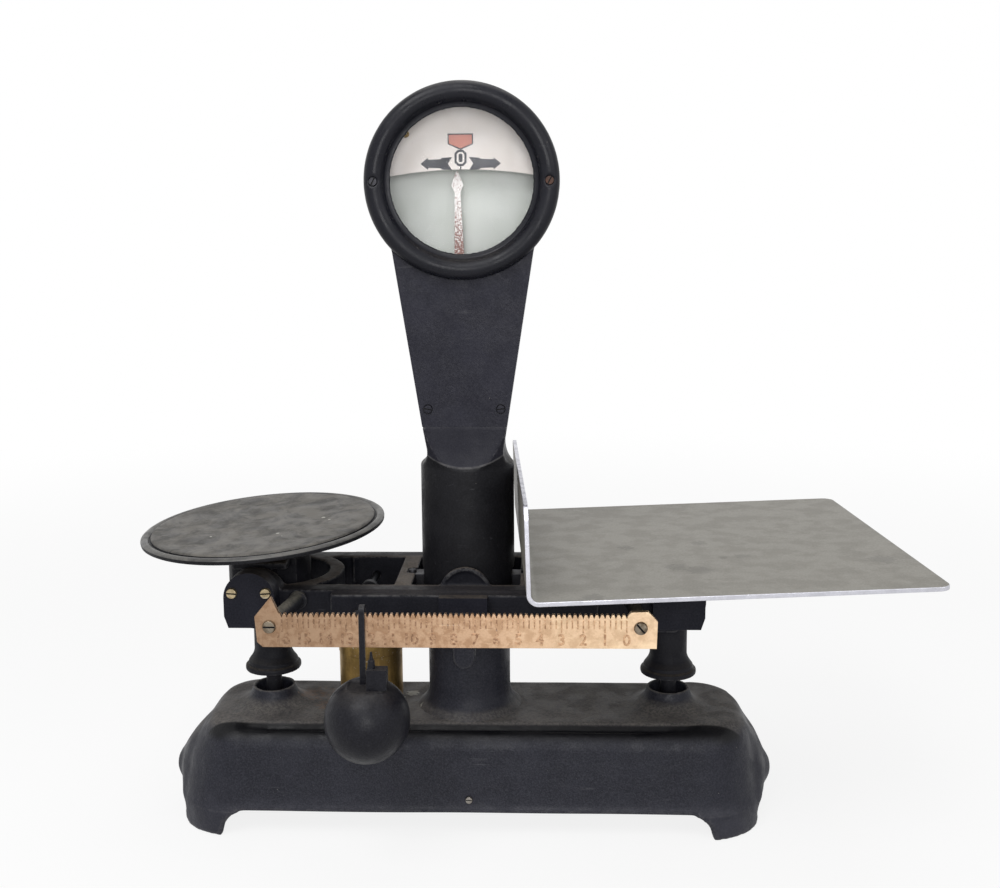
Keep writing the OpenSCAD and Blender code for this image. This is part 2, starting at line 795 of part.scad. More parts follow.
module tower_front_shell() {
    color(iron) difference() {
        tower_slice(0, face_y, 0);
        difference() {
            tower_slice(shell_t, face_y + face_t, 1);
            neck_posts(-1);
        }
        translate([-hood_spigot_hw - seat_c, face_y + face_t, neck_foot_z - 1])
            cube([2 * (hood_spigot_hw + seat_c), tower_half_d, 3]);
        at_window(face_y - 1)
            cylinder(r = pocket_r, h = pocket_d + 1);
        at_window(face_y)
            cylinder(r = pocket_r - ledge_w, h = face_t + 1);
        for (s = [-1, 1]) {
            translate([s * bezel_screw_x, face_y - 1, window_z])
                rotate([-90, 0, 0])
                cylinder(r = bezel_shank_r + seat_c, h = face_t + 2);
            translate([s * neck_screw_x, face_y - 1, neck_screw_z])
                rotate([-90, 0, 0]) {
                    cylinder(r = neck_screw_shank_r + run_c, h = tower_half_d + 2);
                    cylinder(r = neck_screw_r + 0.4, h = 2.4);
                }
        }
    }
}

// Children are placed with their Z axis pointing to the back, on the window's axis
module at_window(y) {
    translate([0, y, window_z])
        rotate([-90, 0, 0])
        children();
}

neck_screw_shank_r = 1.8;
// Posts inside the neck that the two neck screws run through
module neck_posts(side) {
    for (s = [-1, 1])
        translate([s * (neck_screw_x - 2), side < 0 ? face_y : 0, neck_screw_z])
        rotate([-90, 0, 0])
        cylinder(r = neck_screw_shank_r + 3, h = tower_half_d);
}

module tower_rear_shell() {
    color(iron) difference() {
        union() {
            tower_slice(0, 0, tower_half_d - 4);
            tower_slice(1, tower_half_d - 4, tower_half_d - 2);
            tower_slice(3, tower_half_d - 2, tower_half_d);
        }
        difference() {
            tower_slice(shell_t, -1, tower_half_d - shell_t);
            neck_posts(1);
            for (s = [-1, 1])
                at_dial_post(s, backing_y + dial_t)
                cylinder(r = dial_post_r, h = tower_half_d);
        }
        translate([-hood_spigot_hw - seat_c, -1, neck_foot_z - 1])
            cube([2 * (hood_spigot_hw + seat_c), tower_half_d - shell_t + 1, 3]);
        for (s = [-1, 1]) {
            translate([s * neck_screw_x, -1, neck_screw_z])
                rotate([-90, 0, 0])
                cylinder(r = neck_screw_shank_r + seat_c, h = tower_half_d - 6);
            at_dial_post(s, backing_y)
                cylinder(r = dial_screw_r + seat_c, h = 10);
        }
    }
}

module tower_screws() {
    color(steel)
        for (s = [-1, 1])
        translate([s * neck_screw_x, face_y + 1.4, neck_screw_z])
        rotate([90, 0, 0])
        slotted_screw(neck_screw_r, 1.3, neck_screw_shank_r, tower_half_d + 14, 10 * s);
}

dial_post_r = 2.7;
dial_screw_r = 1.2;
dial_post_x = 36;
dial_post_up = 30;
module at_dial_post(s, y) {
    translate([s * dial_post_x, y, window_z + dial_post_up])
        rotate([-90, 0, 0])
        children();
}

module bezel() {
    lip_t = 1.2;
    color(iron) difference() {
        at_window(face_y)
            rotate([180, 0, 0])
            rotate_extrude()
            difference() {
                union() {
                    polygon([
                        [bezel_in_r, 0], [bezel_r, 0], [bezel_r, bezel_h - bead_r],
                        [bead_centre_r - bead_r, bezel_h - bead_r], [bezel_in_r, lip_t]]);
                    translate([bead_centre_r, bezel_h - bead_r])
                        circle(bead_r);
                }
                translate([0, -bezel_r])
                    square([bezel_r + 1, bezel_r]);
            }
        for (s = [-1, 1])
            translate([s * bezel_screw_x, face_y, window_z])
            rotate([90, 0, 0]) {
                up(-1)
                    cylinder(r = bezel_shank_r + run_c, h = bezel_h + 2);
                up(bezel_h - 2)
                    cylinder(r = bezel_head_r + 0.3, h = 4);
            }
    }
}

module bezel_screws() {
    color(steel)
        for (s = [-1, 1])
        translate([s * bezel_screw_x, face_y - bezel_h + 2, window_z])
        rotate([90, 0, 0])
        slotted_screw(bezel_head_r, 1.5, bezel_shank_r, bezel_h + 1.5, 62);
}

module window_glass() {
    color([0.8, 0.85, 0.85, 0.35])
        at_window(face_y + 0.1)
        cylinder(r = glass_r, h = glass_t);
}

module glass_gasket() {
    color("#202020")
        at_window(face_y + 0.1 + glass_t)
        difference() {
            cylinder(r = glass_r, h = gasket_t);
            up(-1)
                cylinder(r = pocket_r - ledge_w + 0.5, h = gasket_t + 2);
        }
}

module dial_backing() {
    color("#c8cdc6") difference() {
        at_window(backing_y)
            cylinder(r = dial_r, h = dial_t);
        for (s = [-1, 1])
            at_dial_post(s, backing_y - 1)
            cylinder(r = dial_screw_r + run_c, h = dial_t + 2);
    }
}

module dial_chart() {
    color(pale) difference() {
        at_window(-chart_y - dial_t)
            cylinder(r = dial_r, h = dial_t);
        translate([0, 1, knife_z])
            rotate([90, 0, 0])
            cylinder(r = chart_edge_r, h = chart_y + dial_t + 2);
        for (s = [-1, 1])
            at_dial_post(s, -chart_y - dial_t - 1)
            cylinder(r = dial_screw_r + run_c, h = dial_t + 2);
    }
}

module dial_spacers() {
    color(brass)
        for (s = [-1, 1])
        at_dial_post(s, -chart_y)
        difference() {
            cylinder(r = dial_post_r, h = chart_y + backing_y);
            up(-1)
                cylinder(r = dial_screw_r + run_c, h = chart_y + backing_y + 2);
        }
}

module dial_screws() {
    color(brass)
        for (s = [-1, 1])
        at_dial_post(s, -chart_y - dial_t)
        rotate([180, 0, 0])
        slotted_screw(2.3, 1.1, dial_screw_r, chart_y + backing_y + 2 * dial_t + 7, 30);
}

module at_dashpot() {
    translate([-dashpot_x, 0, deck_z])
        children();
}

module dashpot_cylinder() {
    color(brass)
        at_dashpot()
        difference() {
            cylinder(r = dashpot_r, h = dashpot_h);
            up(2)
                cylinder(r = dashpot_r - dashpot_wall, h = dashpot_h);
        }
}

module dashpot_cap() {
    bore_r = plunger_rod_r + 1.2;
    skirt = 4;
    color(brass)
        at_dashpot()
        up(dashpot_h)
        rotate_extrude()
        polygon([
            [bore_r, dashpot_cap_h - 3], [dashpot_r - 6, dashpot_cap_h - 3],
            [dashpot_r - dashpot_wall - 2, dashpot_cap_h - 6], [dashpot_r - dashpot_wall - 2, -skirt],
            [dashpot_r - dashpot_wall - seat_c, -skirt], [dashpot_r - dashpot_wall - seat_c, 0],
            [dashpot_r + 0.4, 0], [dashpot_r + 0.4, dashpot_cap_h - 3],
            [dashpot_r - 3, dashpot_cap_h], [6, dashpot_cap_h + 1], [6, dashpot_cap_h + 4],
            [bore_r, dashpot_cap_h + 4]]);
}

module check_link_pin() {
    half = link_t / 2 + part_c + 2 + 5;
    color(steel)
        translate([0, half, link_z])
        rotate([90, 0, 0])
        cylinder(r = link_pin_r, h = 2 * half);
}

// One rail's side view: the bar between the end eyes, with its round ear over the fulcrum
module rail_side() {
    translate([-arm_l, rail_bottom_z])
        square([2 * arm_l, rail_top_z - rail_bottom_z]);
    for (s = [-1, 1])
        translate([s * arm_l, knife_z])
        circle(eye_r);
}

module end_knife_section() {
    polygon([
        [0, 0], [knife_hw, -knife_flank_h], [knife_hw, -knife_flank_h - knife_back_h],
        [-knife_hw, -knife_flank_h - knife_back_h], [-knife_hw, -knife_flank_h]]);
}

// Plan of one cross rib with its hollow corners, on the right-hand side
module curved_rib_plan() {
    difference() {
        translate([curved_rib_near_x - rib_fillet_r, -rail_in_y - 1])
            square([curved_rib_far_x - curved_rib_near_x + rib_fillet_r + far_fillet_r, 2 * rail_in_y + 2]);
        translate([curved_rib_near_x - rib_fillet_r, 0])
            rib_hollow(rib_fillet_r);
        translate([curved_rib_far_x + far_fillet_r, 0])
            rib_hollow(far_fillet_r);
    }
}

module rib_hollow(r) {
    for (s = [-1, 1])
        translate([0, s * (rail_in_y - r)])
        circle(r);
    translate([-r, -rail_in_y + r])
        square([2 * r, 2 * (rail_in_y - r)]);
}

far_fillet_r = 30;
module beam_frame() {
    rib_h = rail_top_z - rib_bottom_z;
    color(dusty_iron) difference() {
        union() {
            for (s = [0, 1])
                mirror([0, s, 0]) {
                    translate([0, rail_out_y, 0])
                        rotate([90, 0, 0])
                        linear_extrude(rail_t)
                        rail_side();
                    translate([0, rail_in_y + 3, ear_z])
                        rotate([90, 0, 0])
                        cylinder(r = ear_r, h = 3);
                    translate([0, rail_in_y + 4, ear_z])
                        rotate([90, 0, 0])
                        difference() {
                            cylinder(r = ear_r, h = 2);
                            up(-1)
                                cylinder(r = ear_r - 2.2, h = 4);
                        }
                    translate([-rail_lip_half_l, rail_out_y - 1, rail_lip_bottom_z])
                        cube([2 * rail_lip_half_l, rail_lip + 1,
                            rail_top_z - rail_lip_drop - rail_lip_bottom_z]);
                }
            for (s = [0, 1])
                mirror([s, 0, 0])
                up(rib_bottom_z) {
                    linear_extrude(rib_h)
                        curved_rib_plan();
                    translate([rib_near_x, -rail_in_y - 1, 0])
                        cube([rib_far_x - rib_near_x, 2 * rail_in_y + 2, rib_h]);
                }
        }
        for (s = [-1, 1]) {
            translate([s * arm_l, cover_out_y, knife_z])
                rotate([90, 0, 0])
                linear_extrude(2 * cover_out_y)
                end_knife_section();
            translate([0, s * post_y, 0])
                housing_cavity();
            for (x = [-1, 1])
                cover_screw_at(s, x)
                up(-cover_d - 8)
                cylinder(r = cover_shank_r + seat_c, h = cover_d + 9);
            translate([s * bridge_half_l - (s + 1) * bridge_half_l / 2 - (s < 0 ? eps : 0),
                -bridge_hw - seat_c, bridge_bottom_z])
                cube([bridge_half_l + eps, 2 * bridge_hw + 2 * seat_c, 20]);
            bridge_screw_at(s)
                up(-bridge_top_z + rib_bottom_z - 1)
                cylinder(r = bridge_screw_shank_r + seat_c, h = 30);
        }
        up(rail_bottom_z - 30)
            cylinder(r = sleeve_r + 2, h = 80);
        cross_pin_hole();
        for (p = arm_roots)
            translate(p)
            rotate([-90, 0, 0])
            cylinder(r = arm_shank_r + seat_c, h = 8);
    }
}

module cross_pin_hole() {
    translate([-dashpot_x, rail_out_y + rail_lip + 1, cross_pin_z])
        rotate([90, 0, 0])
        cylinder(r = cross_pin_r + seat_c, h = 2 * (rail_out_y + rail_lip + 1));
}

module dashpot_cross_pin() {
    color(steel)
        translate([-dashpot_x, rail_out_y + rail_lip, cross_pin_z])
        rotate([90, 0, 0])
        cylinder(r = cross_pin_r, h = 2 * (rail_out_y + rail_lip));
}

// Room round a bearing post, closed above by the roof that holds the knife edge
cavity_hw = yoke_half_w + 3.5;
cavity_hl = post_t / 2 + 2;
cavity_top_z = knife_z + knife_flank_h;
module housing_cavity() {
    translate([-cavity_hw, -cavity_hl, rail_bottom_z - 1])
        cube([2 * cavity_hw, 2 * cavity_hl, cavity_top_z - rail_bottom_z + 1]);
    translate([-knife_hw, -cavity_hl, cavity_top_z - 1])
        cube([2 * knife_hw, 2 * cavity_hl, 1 + knife_root_h]);
}

knife_root_h = 1.6;
module centre_housings() {
    groove_w = 1;
    step = 0.8;
    color(iron)
        for (s = [0, 1])
        mirror([0, s, 0])
        difference() {
            translate([-housing_hw, rail_out_y + rail_lip, cover_bottom_z])
                cube([2 * housing_hw, cover_out_y - rail_out_y - rail_lip, rail_top_z - cover_bottom_z - step]);
            translate([0, post_y, 0])
                housing_cavity();
            translate([-housing_hw - 1, rail_out_y + rail_lip - eps, rail_top_z - 2 * step])
                cube([2 * housing_hw + 2, groove_w, 2]);
            for (x = [-1, 1])
                translate([x * housing_screw_x, cover_out_y + 1, cover_bottom_z + 5])
                rotate([90, 0, 0])
                cylinder(r = cover_shank_r + run_c, h = cover_d);
        }
}

housing_screw_x = 12.6;
module centre_knife_edges() {
    color(steel)
        for (s = [-1, 1])
        translate([0, s * post_y + cavity_hl, knife_z])
        rotate([90, 0, 0])
        linear_extrude(2 * cavity_hl)
        polygon([
            [0, 0], [knife_hw, knife_flank_h], [knife_hw, knife_flank_h + knife_root_h],
            [-knife_hw, knife_flank_h + knife_root_h], [-knife_hw, knife_flank_h]]);
}

// Knife edges of one end, reaching in from the eyes to the support's bearings
module end_knife_edges(side) {
    color(steel)
        for (s = [0, 1])
        mirror([0, s, 0])
        translate([side * arm_l, rail_out_y, knife_z])
        rotate([90, 0, 0])
        linear_extrude(rail_t + knife_reach)
        end_knife_section();
}

knife_reach = 11;
module left_knife_edges() {
    end_knife_edges(-1);
}
module right_knife_edges() {
    end_knife_edges(1);
}

cover_shank_r = 1.6;
// Children stand on a cover's front face, with Z pointing away from the cover
module cover_screw_at(side, x) {
    for (s = [0, 1])
        mirror([0, s, 0])
        translate([side * arm_l + x * cover_screw_x, -cover_out_y, cover_screw_z])
        rotate([90, 0, 0])
        children();
}

module cover_outline(i) {
    top_r = cover_hw - i;
    chamfer = 2.5;
    arc_z = cover_top_z - cover_hw;
    translate([0, arc_z])
        circle(top_r);
    polygon([
        [-top_r, arc_z], [-top_r, cover_bottom_z + 3 * chamfer], [-top_r + chamfer, cover_bottom_z + i],
        [top_r - chamfer, cover_bottom_z + i], [top_r, cover_bottom_z + 3 * chamfer], [top_r, arc_z]]);
}

// Round-topped caps over the knife ends, front and back
module bearing_covers(side) {
    color(iron)
        for (s = [0, 1])
        mirror([0, s, 0])
        difference() {
            translate([side * arm_l, -rail_out_y, 0])
                rotate([90, 0, 0])
                difference() {
                    linear_extrude(cover_d)
                        cover_outline(0);
                    up(-1)
                        difference() {
                            linear_extrude(cover_d - cover_t + 1)
                                cover_outline(cover_t);
                            for (x = [-1, 1])
                                translate([x * cover_screw_x, cover_screw_z, 0])
                                cylinder(r = cover_shank_r + 2, h = cover_d);
                        }
                }
            for (x = [-1, 1])
                translate([side * arm_l + x * cover_screw_x, -cover_out_y - 1, cover_screw_z])
                rotate([-90, 0, 0])
                cylinder(r = cover_shank_r + run_c, h = cover_d + 2);
        }
}
module left_bearing_covers() {
    bearing_covers(-1);
}
module right_bearing_covers() {
    bearing_covers(1);
}

module cover_screws() {
    color(brass) {
        for (side = [-1, 1], x = [-1, 1])
            cover_screw_at(side, x)
            slotted_screw(cover_screw_r, 1.8, cover_shank_r, cover_d + 6, 4 * x);
        for (s = [0, 1], x = [-1, 1])
            mirror([0, s, 0])
            translate([x * housing_screw_x, -cover_out_y, cover_bottom_z + 5])
            rotate([90, 0, 0])
            slotted_screw(2.2, 1.2, cover_shank_r, cover_d - rail_lip - 1, 20);
    }
}

// Children are placed in the pointer's own leaning frame, with its foot at the knife edge
module at_pointer() {
    up(knife_z)
        rotate([0, -pointer_lean, 0])
        children();
}

bridge_screw_shank_r = 1.6;
module bridge_screw_at(s) {
    translate([s * (bridge_half_l - 3), 0, bridge_top_z])
        children();
}

module pointer_bridge() {
    color(steel) difference() {
        translate([-bridge_half_l, -bridge_hw, bridge_bottom_z])
            cube([2 * bridge_half_l, 2 * bridge_hw, bridge_h]);
        at_pointer()
            up(-bridge_h)
            cylinder(r = pointer_stem_r + seat_c, h = 3 * bridge_h);
        for (s = [-1, 1])
            bridge_screw_at(s)
            up(-2 * bridge_h)
            cylinder(r = bridge_screw_shank_r + run_c, h = 3 * bridge_h);
    }
}

module bridge_screws() {
    color(steel)
        for (s = [-1, 1])
        bridge_screw_at(s)
        slotted_screw(2.8, 1.6, bridge_screw_shank_r, bridge_top_z - rib_bottom_z - 2);
}

stem_end_l = window_z - bezel_in_r - knife_z - 2;
blade_seat_l = 14;
module pointer_stem() {
    color(steel)
        at_pointer()
        difference() {
            up(bridge_bottom_z - knife_z)
                cylinder(r = pointer_stem_r, h = stem_end_l - bridge_bottom_z + knife_z);
            translate([-5, -5, stem_end_l - blade_seat_l])
                cube([10, 5 - blade_t / 2, blade_seat_l + 1]);
        }
}

module sensitivity_nut() {
    nut_l = 60;
    color(brass)
        at_pointer()
        up(nut_l)
        difference() {
            union() {
                cylinder(r = 8, h = 9);
                up(9 - eps)
                    cylinder(r = 6, h = 4);
            }
            up(-1)
                cylinder(r = pointer_stem_r + seat_c, h = 16);
        }
}

blade_t = 0.8;
module pointer_blade() {
    neck_l = pointer_l - 13.3;
    widest_l = pointer_l - 8.9;
    foot_l = stem_end_l - blade_seat_l + 2;
    color("#e6dcd6")
        at_pointer()
        translate([0, -blade_t / 2, 0])
        rotate([90, 0, 0])
        linear_extrude(blade_t)
        polygon([
            [pointer_foot_w / 2, foot_l], [pointer_neck_w / 2, neck_l], [pointer_head_w / 2, widest_l],
            [0.5, pointer_l], [-0.5, pointer_l], [-pointer_head_w / 2, widest_l],
            [-pointer_neck_w / 2, neck_l], [-pointer_foot_w / 2, foot_l]]);
}

// Where the two round arms leave the front rail, and where they meet the bar
arm_shank_r = 2.5;
arm_inset = 28;
arm_roots = [for (s = [-1, 1]) [s * (arm_l - arm_inset), -rail_out_y, knife_z + 1]];
arm_tips = [
    [bar_screw_left_x, bar_back_y, bar_screw_z], [bar_screw_right_x, bar_back_y, bar_screw_z]];
pad_t = 5;
module bar_arms() {
    color(dusty_iron)
        for (i = [0, 1]) {
            root = arm_roots[i];
            tip = arm_tips[i] + [0, pad_t / 2, 0];
            run = tip - root;
            difference() {
                union() {
                    translate(root)
                        rotate([90, 0, 0])
                        cylinder(r = bar_arm_r + 1, h = 3);
                    translate(root)
                        rotate([0, acos(run[2] / norm(run)), atan2(run[1], run[0])])
                        cylinder(r = bar_arm_r, h = norm(run));
                    translate(arm_tips[i])
                        rotate([-90, 0, 0])
                        cylinder(r = bar_arm_r + 0.6, h = pad_t);
                }
                translate(arm_tips[i] + [0, -1, 0])
                    rotate([-90, 0, 0])
                    cylinder(r = bar_shank_r + seat_c, h = 9);
                translate([root[0] - 10, -rail_out_y, root[2] - 10])
                    cube(20);
                translate([arm_tips[i][0] - 10, bar_back_y - 20, bar_screw_z - 10])
                    cube(20);
            }
            translate(root + [0, -1, 0])
                rotate([-90, 0, 0])
                cylinder(r = arm_shank_r, h = 8);
        }
}

bar_shank_r = 2.2;
// Side view of the bar: a peaked left end, a row of notches and a square right end
module bar_outline() {
    notch_w = 1.9;
    notch_left_x = bar_zero_x - teeth * tooth_pitch;
    peak_x = bar_left_x + 10;
    polygon(concat(
        [[bar_right_x, bar_bottom_z], [bar_right_x + 0.5, crest_z - 4], [bar_right_x - 5, crest_z + 2],
            [bar_zero_x + 2.8, crest_z + 1.6]],
        [for (k = [0 : teeth])
            for (p = [[notch_w / 2, 0], [0, -tooth_d], [-notch_w / 2, 0]])
                [bar_zero_x - k * tooth_pitch + p[0], crest_z + p[1]]],
        [[notch_left_x - 1.6, crest_z], [peak_x, crest_z + 10.2], [bar_left_x, crest_z - 2],
            [bar_left_x + 1.1, bar_bottom_z + 3], [bar_left_x + 4.5, bar_bottom_z]]));
}

module graduated_bar() {
    color(copper_brass) difference() {
        translate([0, bar_back_y, 0])
            rotate([90, 0, 0])
            linear_extrude(bar_t)
            bar_outline();
        for (x = [bar_screw_left_x, bar_screw_right_x])
            translate([x, bar_back_y + 1, bar_screw_z])
            rotate([90, 0, 0])
            cylinder(r = bar_shank_r + run_c, h = bar_t + 2);
    }
}

module bar_screws() {
    color(steel)
        for (s = [0, 1])
        translate([s ? bar_screw_right_x : bar_screw_left_x, -bar_y, bar_screw_z])
        rotate([90, 0, 0])
        slotted_screw(bar_screw_r, 1.6, bar_shank_r, bar_t + 6, s ? -50 : 0);
}

// Pan support: flange, hub, bearing legs, neck and bell in one casting
module pan_support(side) {
    leg_in = knife_reach_in + 0.5;
    color(iron)
        translate([side * arm_l, 0, 0])
        difference() {
            union() {
                translate([-flange_hw, -flange_hl, flange_z - flange_t])
                    cube([2 * flange_hw, 2 * flange_hl, flange_t]);
                intersection() {
                    rotate_extrude()
                        polygon([
                            [0, cone_z - 2], [neck_r, cone_z - 2], [neck_r, cone_z], [hub_r, cone_z + 30],
                            [hub_r, flange_z], [0, flange_z]]);
                    translate([-hub_r - 1, -hub_hw, cone_z - 3])
                        cube([2 * hub_r + 2, 2 * hub_hw, flange_z - cone_z + 4]);
                }
                for (s = [0, 1])
                    mirror([0, s, 0])
                    translate([-8, hub_hw - 2, bearing_seat_z])
                    cube([16, flange_hl - hub_hw + 2, flange_z - bearing_seat_z - 1]);
                rotate_extrude()
                    bell_section(bell_rim_z(side), stem_shoulder_z(side));
            }
            up(flange_z - socket_d)
                cylinder(r = socket_r, h = socket_d + 1);
            up(stem_shoulder_z(side))
                cylinder(r = stem_top_r + seat_c, h = stem_top_z - stem_shoulder_z(side) + 1);
            for (s = [-1, 1])
                translate([0, s * bearing_y, bearing_seat_z - 1])
                cylinder(r = shank_r + seat_c, h = 8.5);
        }
}

cone_z = 122;
knife_reach_in = rail_in_y - knife_reach;
bearing_y = flange_hl - 4;
bearing_seat_z = knife_z + 8;
module bell_section(rim_z, seat_z) {
    waist_z = rim_z + bell_h;
    polygon([
        [stem_r + 2, seat_z], [stem_r + 2, seat_z - 0.5], [bell_inner_r - 3, seat_z - 1],
        [bell_inner_r, rim_z + 3], [bell_inner_r, rim_z], [bell_r, rim_z], [bell_r, rim_z + 2.8],
        [bell_r - 0.6, rim_z + 5.2], [bell_r - 2.4, rim_z + 7.6], [bell_r - 4.3, rim_z + 10.4],
        [neck_r, waist_z], [neck_r, cone_z], [0, cone_z], [0, seat_z]]);
}

module left_support() {
    pan_support(-1);
}
module right_support() {
    pan_support(1);
}

// Bearings hang under the legs, notch downwards, on the knife edges
module end_bearings(side) {
    color(steel)
        for (s = [-1, 1])
        translate([side * arm_l, s * bearing_y, bearing_seat_z])
        rotate([180, 0, 0])
        v_block(yoke_half_w, post_t, bearing_seat_z - knife_z);
}
module left_bearings() {
    end_bearings(-1);
}
module right_bearings() {
    end_bearings(1);
}

module stem(side) {
    color(iron)
        translate([side * arm_l, 0, 0])
        difference() {
            union() {
                up(stem_bottom_z)
                    cylinder(r = stem_r, h = stem_shoulder_z(side) - stem_bottom_z);
                up(stem_shoulder_z(side) - eps)
                    cylinder(r = stem_top_r, h = stem_top_z - stem_shoulder_z(side));
            }
            translate([0, 20, link_z])
                rotate([90, 0, 0])
                cylinder(r = stem_pin_r + seat_c, h = 40);
        }
}
module left_stem() {
    stem(-1);
}
module right_stem() {
    stem(1);
}

module stem_pin(side) {
    half = link_cheek_in + link_cheek_t + 1;
    color(steel)
        translate([side * arm_l, half, link_z])
        rotate([90, 0, 0])
        cylinder(r = stem_pin_r, h = 2 * half);
}
module left_stem_pin() {
    stem_pin(-1);
}
module right_stem_pin() {
    stem_pin(1);
}

// Lever in the base that keeps both supports upright
module check_link() {
    cheek_out = link_cheek_in + link_cheek_t;
    fork_x = arm_l - stem_r - 12;
    hub_half = link_t / 2 + 2;
    color(iron) difference() {
        union() {
            translate([-fork_x, -link_t / 2, link_z - link_h / 2])
                cube([2 * fork_x, link_t, link_h]);
            translate([0, hub_half, link_z])
                rotate([90, 0, 0])
                cylinder(r = link_h / 2 + 2, h = 2 * hub_half);
            for (s = [0, 1])
                mirror([s, 0, 0]) {
                    translate([fork_x - 8, -cheek_out, link_z - link_h / 2])
                        cube([arm_l - fork_x + 8, 2 * cheek_out, link_h]);
                    translate([arm_l, cheek_out, link_z])
                        rotate([90, 0, 0])
                        cylinder(r = link_h / 2, h = 2 * cheek_out);
                }
        }
        for (s = [0, 1])
            mirror([s, 0, 0]) {
                translate([fork_x, -link_cheek_in, link_z - link_h])
                    cube([60, 2 * link_cheek_in, 2 * link_h]);
                translate([arm_l, 20, link_z])
                    rotate([90, 0, 0])
                    cylinder(r = stem_pin_r + fork_play, h = 40);
            }
        translate([0, 20, link_z])
            rotate([90, 0, 0])
            cylinder(r = link_pin_r + run_c, h = 40);
    }
}

// Piston, rod and eye that hang on the beam's cross pin
module dashpot_plunger() {
    piston_z = deck_z + 14;
    eye_in_r = cross_pin_r + 1;
    eye_half_t = 2.5;
    color(steel)
        translate([-dashpot_x, 0, 0])
        difference() {
            union() {
                up(piston_z)
                    cylinder(r = dashpot_r - dashpot_wall - part_c, h = 3);
                up(piston_z)
                    cylinder(r = plunger_rod_r, h = cross_pin_z - piston_z);
                translate([0, eye_half_t, cross_pin_z])
                    rotate([90, 0, 0])
                    cylinder(r = eye_in_r + 2.5, h = 2 * eye_half_t);
            }
            translate([0, 10, cross_pin_z])
                rotate([90, 0, 0])
                cylinder(r = eye_in_r, h = 20);
            for (a = [0 : 60 : 300])
                rotate(a)
                translate([12, 0, piston_z - 1])
                cylinder(r = 2.5, h = 5);
        }
}

module at_poise() {
    translate([poise_x, poise_y, 0])
        children();
}

poise_lean = 2.2;
notch_half_w = 11.5;
plug_x = 9.5;
module poise_ball() {
    color(iron)
        at_poise()
        difference() {
            translate([poise_lean, 0, poise_z])
                sphere(poise_r);
            translate([-notch_half_w + 3, -poise_r, poise_notch_z])
                cube([2 * notch_half_w + poise_lean, poise_r + 6, poise_r]);
            translate([plug_x, plug_y, poise_notch_z - 8])
                cylinder(r = plug_shank_r + seat_c, h = 9);
            translate([-strap_w / 2, strap_y - strap_t / 2, poise_notch_z - 10])
                cube([strap_w, strap_t, 20]);
        }
}

plug_shank_r = 2.5;
plug_y = -5.5;
strap_y = 3 - 1.4;
module poise_plug() {
    half = 5.9;
    top_h = 12.5;
    color(iron)
        at_poise()
        translate([plug_x, plug_y, poise_notch_z]) {
            translate([-half, -4, 0])
                cube([2 * half, 8, top_h]);
            up(-7)
                cylinder(r = plug_shank_r, h = 7 + eps);
            translate([-half + 2.6, 0, top_h - eps])
                cylinder(r1 = 2.4, r2 = 1.9, h = 5);
            translate([-half + 2.6, 0, top_h + 5 - 2 * eps])
                cylinder(r1 = 1.2, r2 = 0.6, h = 5);
        }
}

// Flat strap that stands in the ball and hooks over the bar into a notch
module poise_strap() {
    front_y = strap_y + strap_t / 2;
    over = crest_z + rest_gap;
    hook_r = (bar_t + poise_front - front_y + 0.6) / 2;
    color(iron)
        at_poise() {
            translate([-strap_w / 2, strap_y - strap_t / 2, poise_notch_z - 10])
                cube([strap_w, strap_t, over + hook_r - poise_notch_z + 10 - 1]);
            translate([strap_w / 2, front_y + hook_r, over + hook_r - 1])
                rotate([0, -90, 0])
                linear_extrude(strap_w)
                difference() {
                    circle(hook_r + strap_t);
                    circle(hook_r);
                    translate([-20, -20])
                        square([20, 40]);
                }
            translate([-strap_w / 2, front_y + 2 * hook_r, over - 8])
                cube([strap_w, strap_t, hook_r + 7]);
        }
}

// Children are placed in the plate's own tilted frame, with z = 0 at its ring
module at_plate() {
    translate([-arm_l - plate_shift, 0, plate_z])
        rotate([plate_tilt_back, -plate_tilt, 0])
        children();
}

module round_plate() {
    mid_r = plate_r - plate_ring_w;
    lean = norm([plate_tilt, plate_tilt_back]);
    hub_d = plate_z - flange_z - rest_gap - plate_hub_r * sin(lean) + plate_shift * sin(plate_tilt);
    boss_r = socket_r - 2;
    color(sheet)
        at_plate()
        rotate_extrude()
        polygon([
            [0, plate_step], [mid_r - 0.8, plate_step], [mid_r, plate_step - 0.3], [mid_r, 0],
            [plate_r - 2, 0], [plate_r - 0.6, -0.5], [plate_r, -1.8], [plate_r, -plate_edge_t + 1],
            [plate_r - 1.5, -plate_edge_t], [plate_hub_r + 14, -plate_edge_t - 1.5],
            [plate_hub_r, -plate_edge_t - 5], [plate_hub_r, -hub_d], [boss_r, -hub_d],
            [boss_r - 1, -hub_d - socket_d + 2.5], [0, -hub_d - socket_d + 2.5]]);
}

// Children are placed in the platter's own tilted frame, with the origin at its front left corner
module at_platter() {
    translate([platter_x, -platter_front, platter_z])
        rotate([-platter_tilt_back, -platter_tilt, platter_turn])
        children();
}

// Sheet bent up along its left side, with rounded corners
module platter() {
    bend_in = platter_bend_r - platter_t;
    c = platter_corner_r;
    color(sheet)
        at_platter() {
            difference() {
                translate([bend_in, 0, -platter_t])
                    cube([platter_l - bend_in, platter_w, platter_t]);
                for (s = [0, 1])
                    translate([platter_l, s * platter_w, -platter_t - 1])
                    rotate(90 * (s ? 2 : 1))
                    corner_cut(c, platter_t + 2);
            }
            translate([bend_in, platter_w, bend_in])
                rotate([90, 0, 0])
                rotate(180)
                bend_quarter(bend_in);
            difference() {
                translate([-platter_t, 0, bend_in])
                    cube([platter_t, platter_w, platter_side_h - bend_in]);
                for (s = [0, 1])
                    translate([1, s * platter_w, platter_side_h])
                    rotate([0, -90, 0])
                    rotate(s ? 180 : 90)
                    corner_cut(c, platter_t + 2);
            }
        }
}

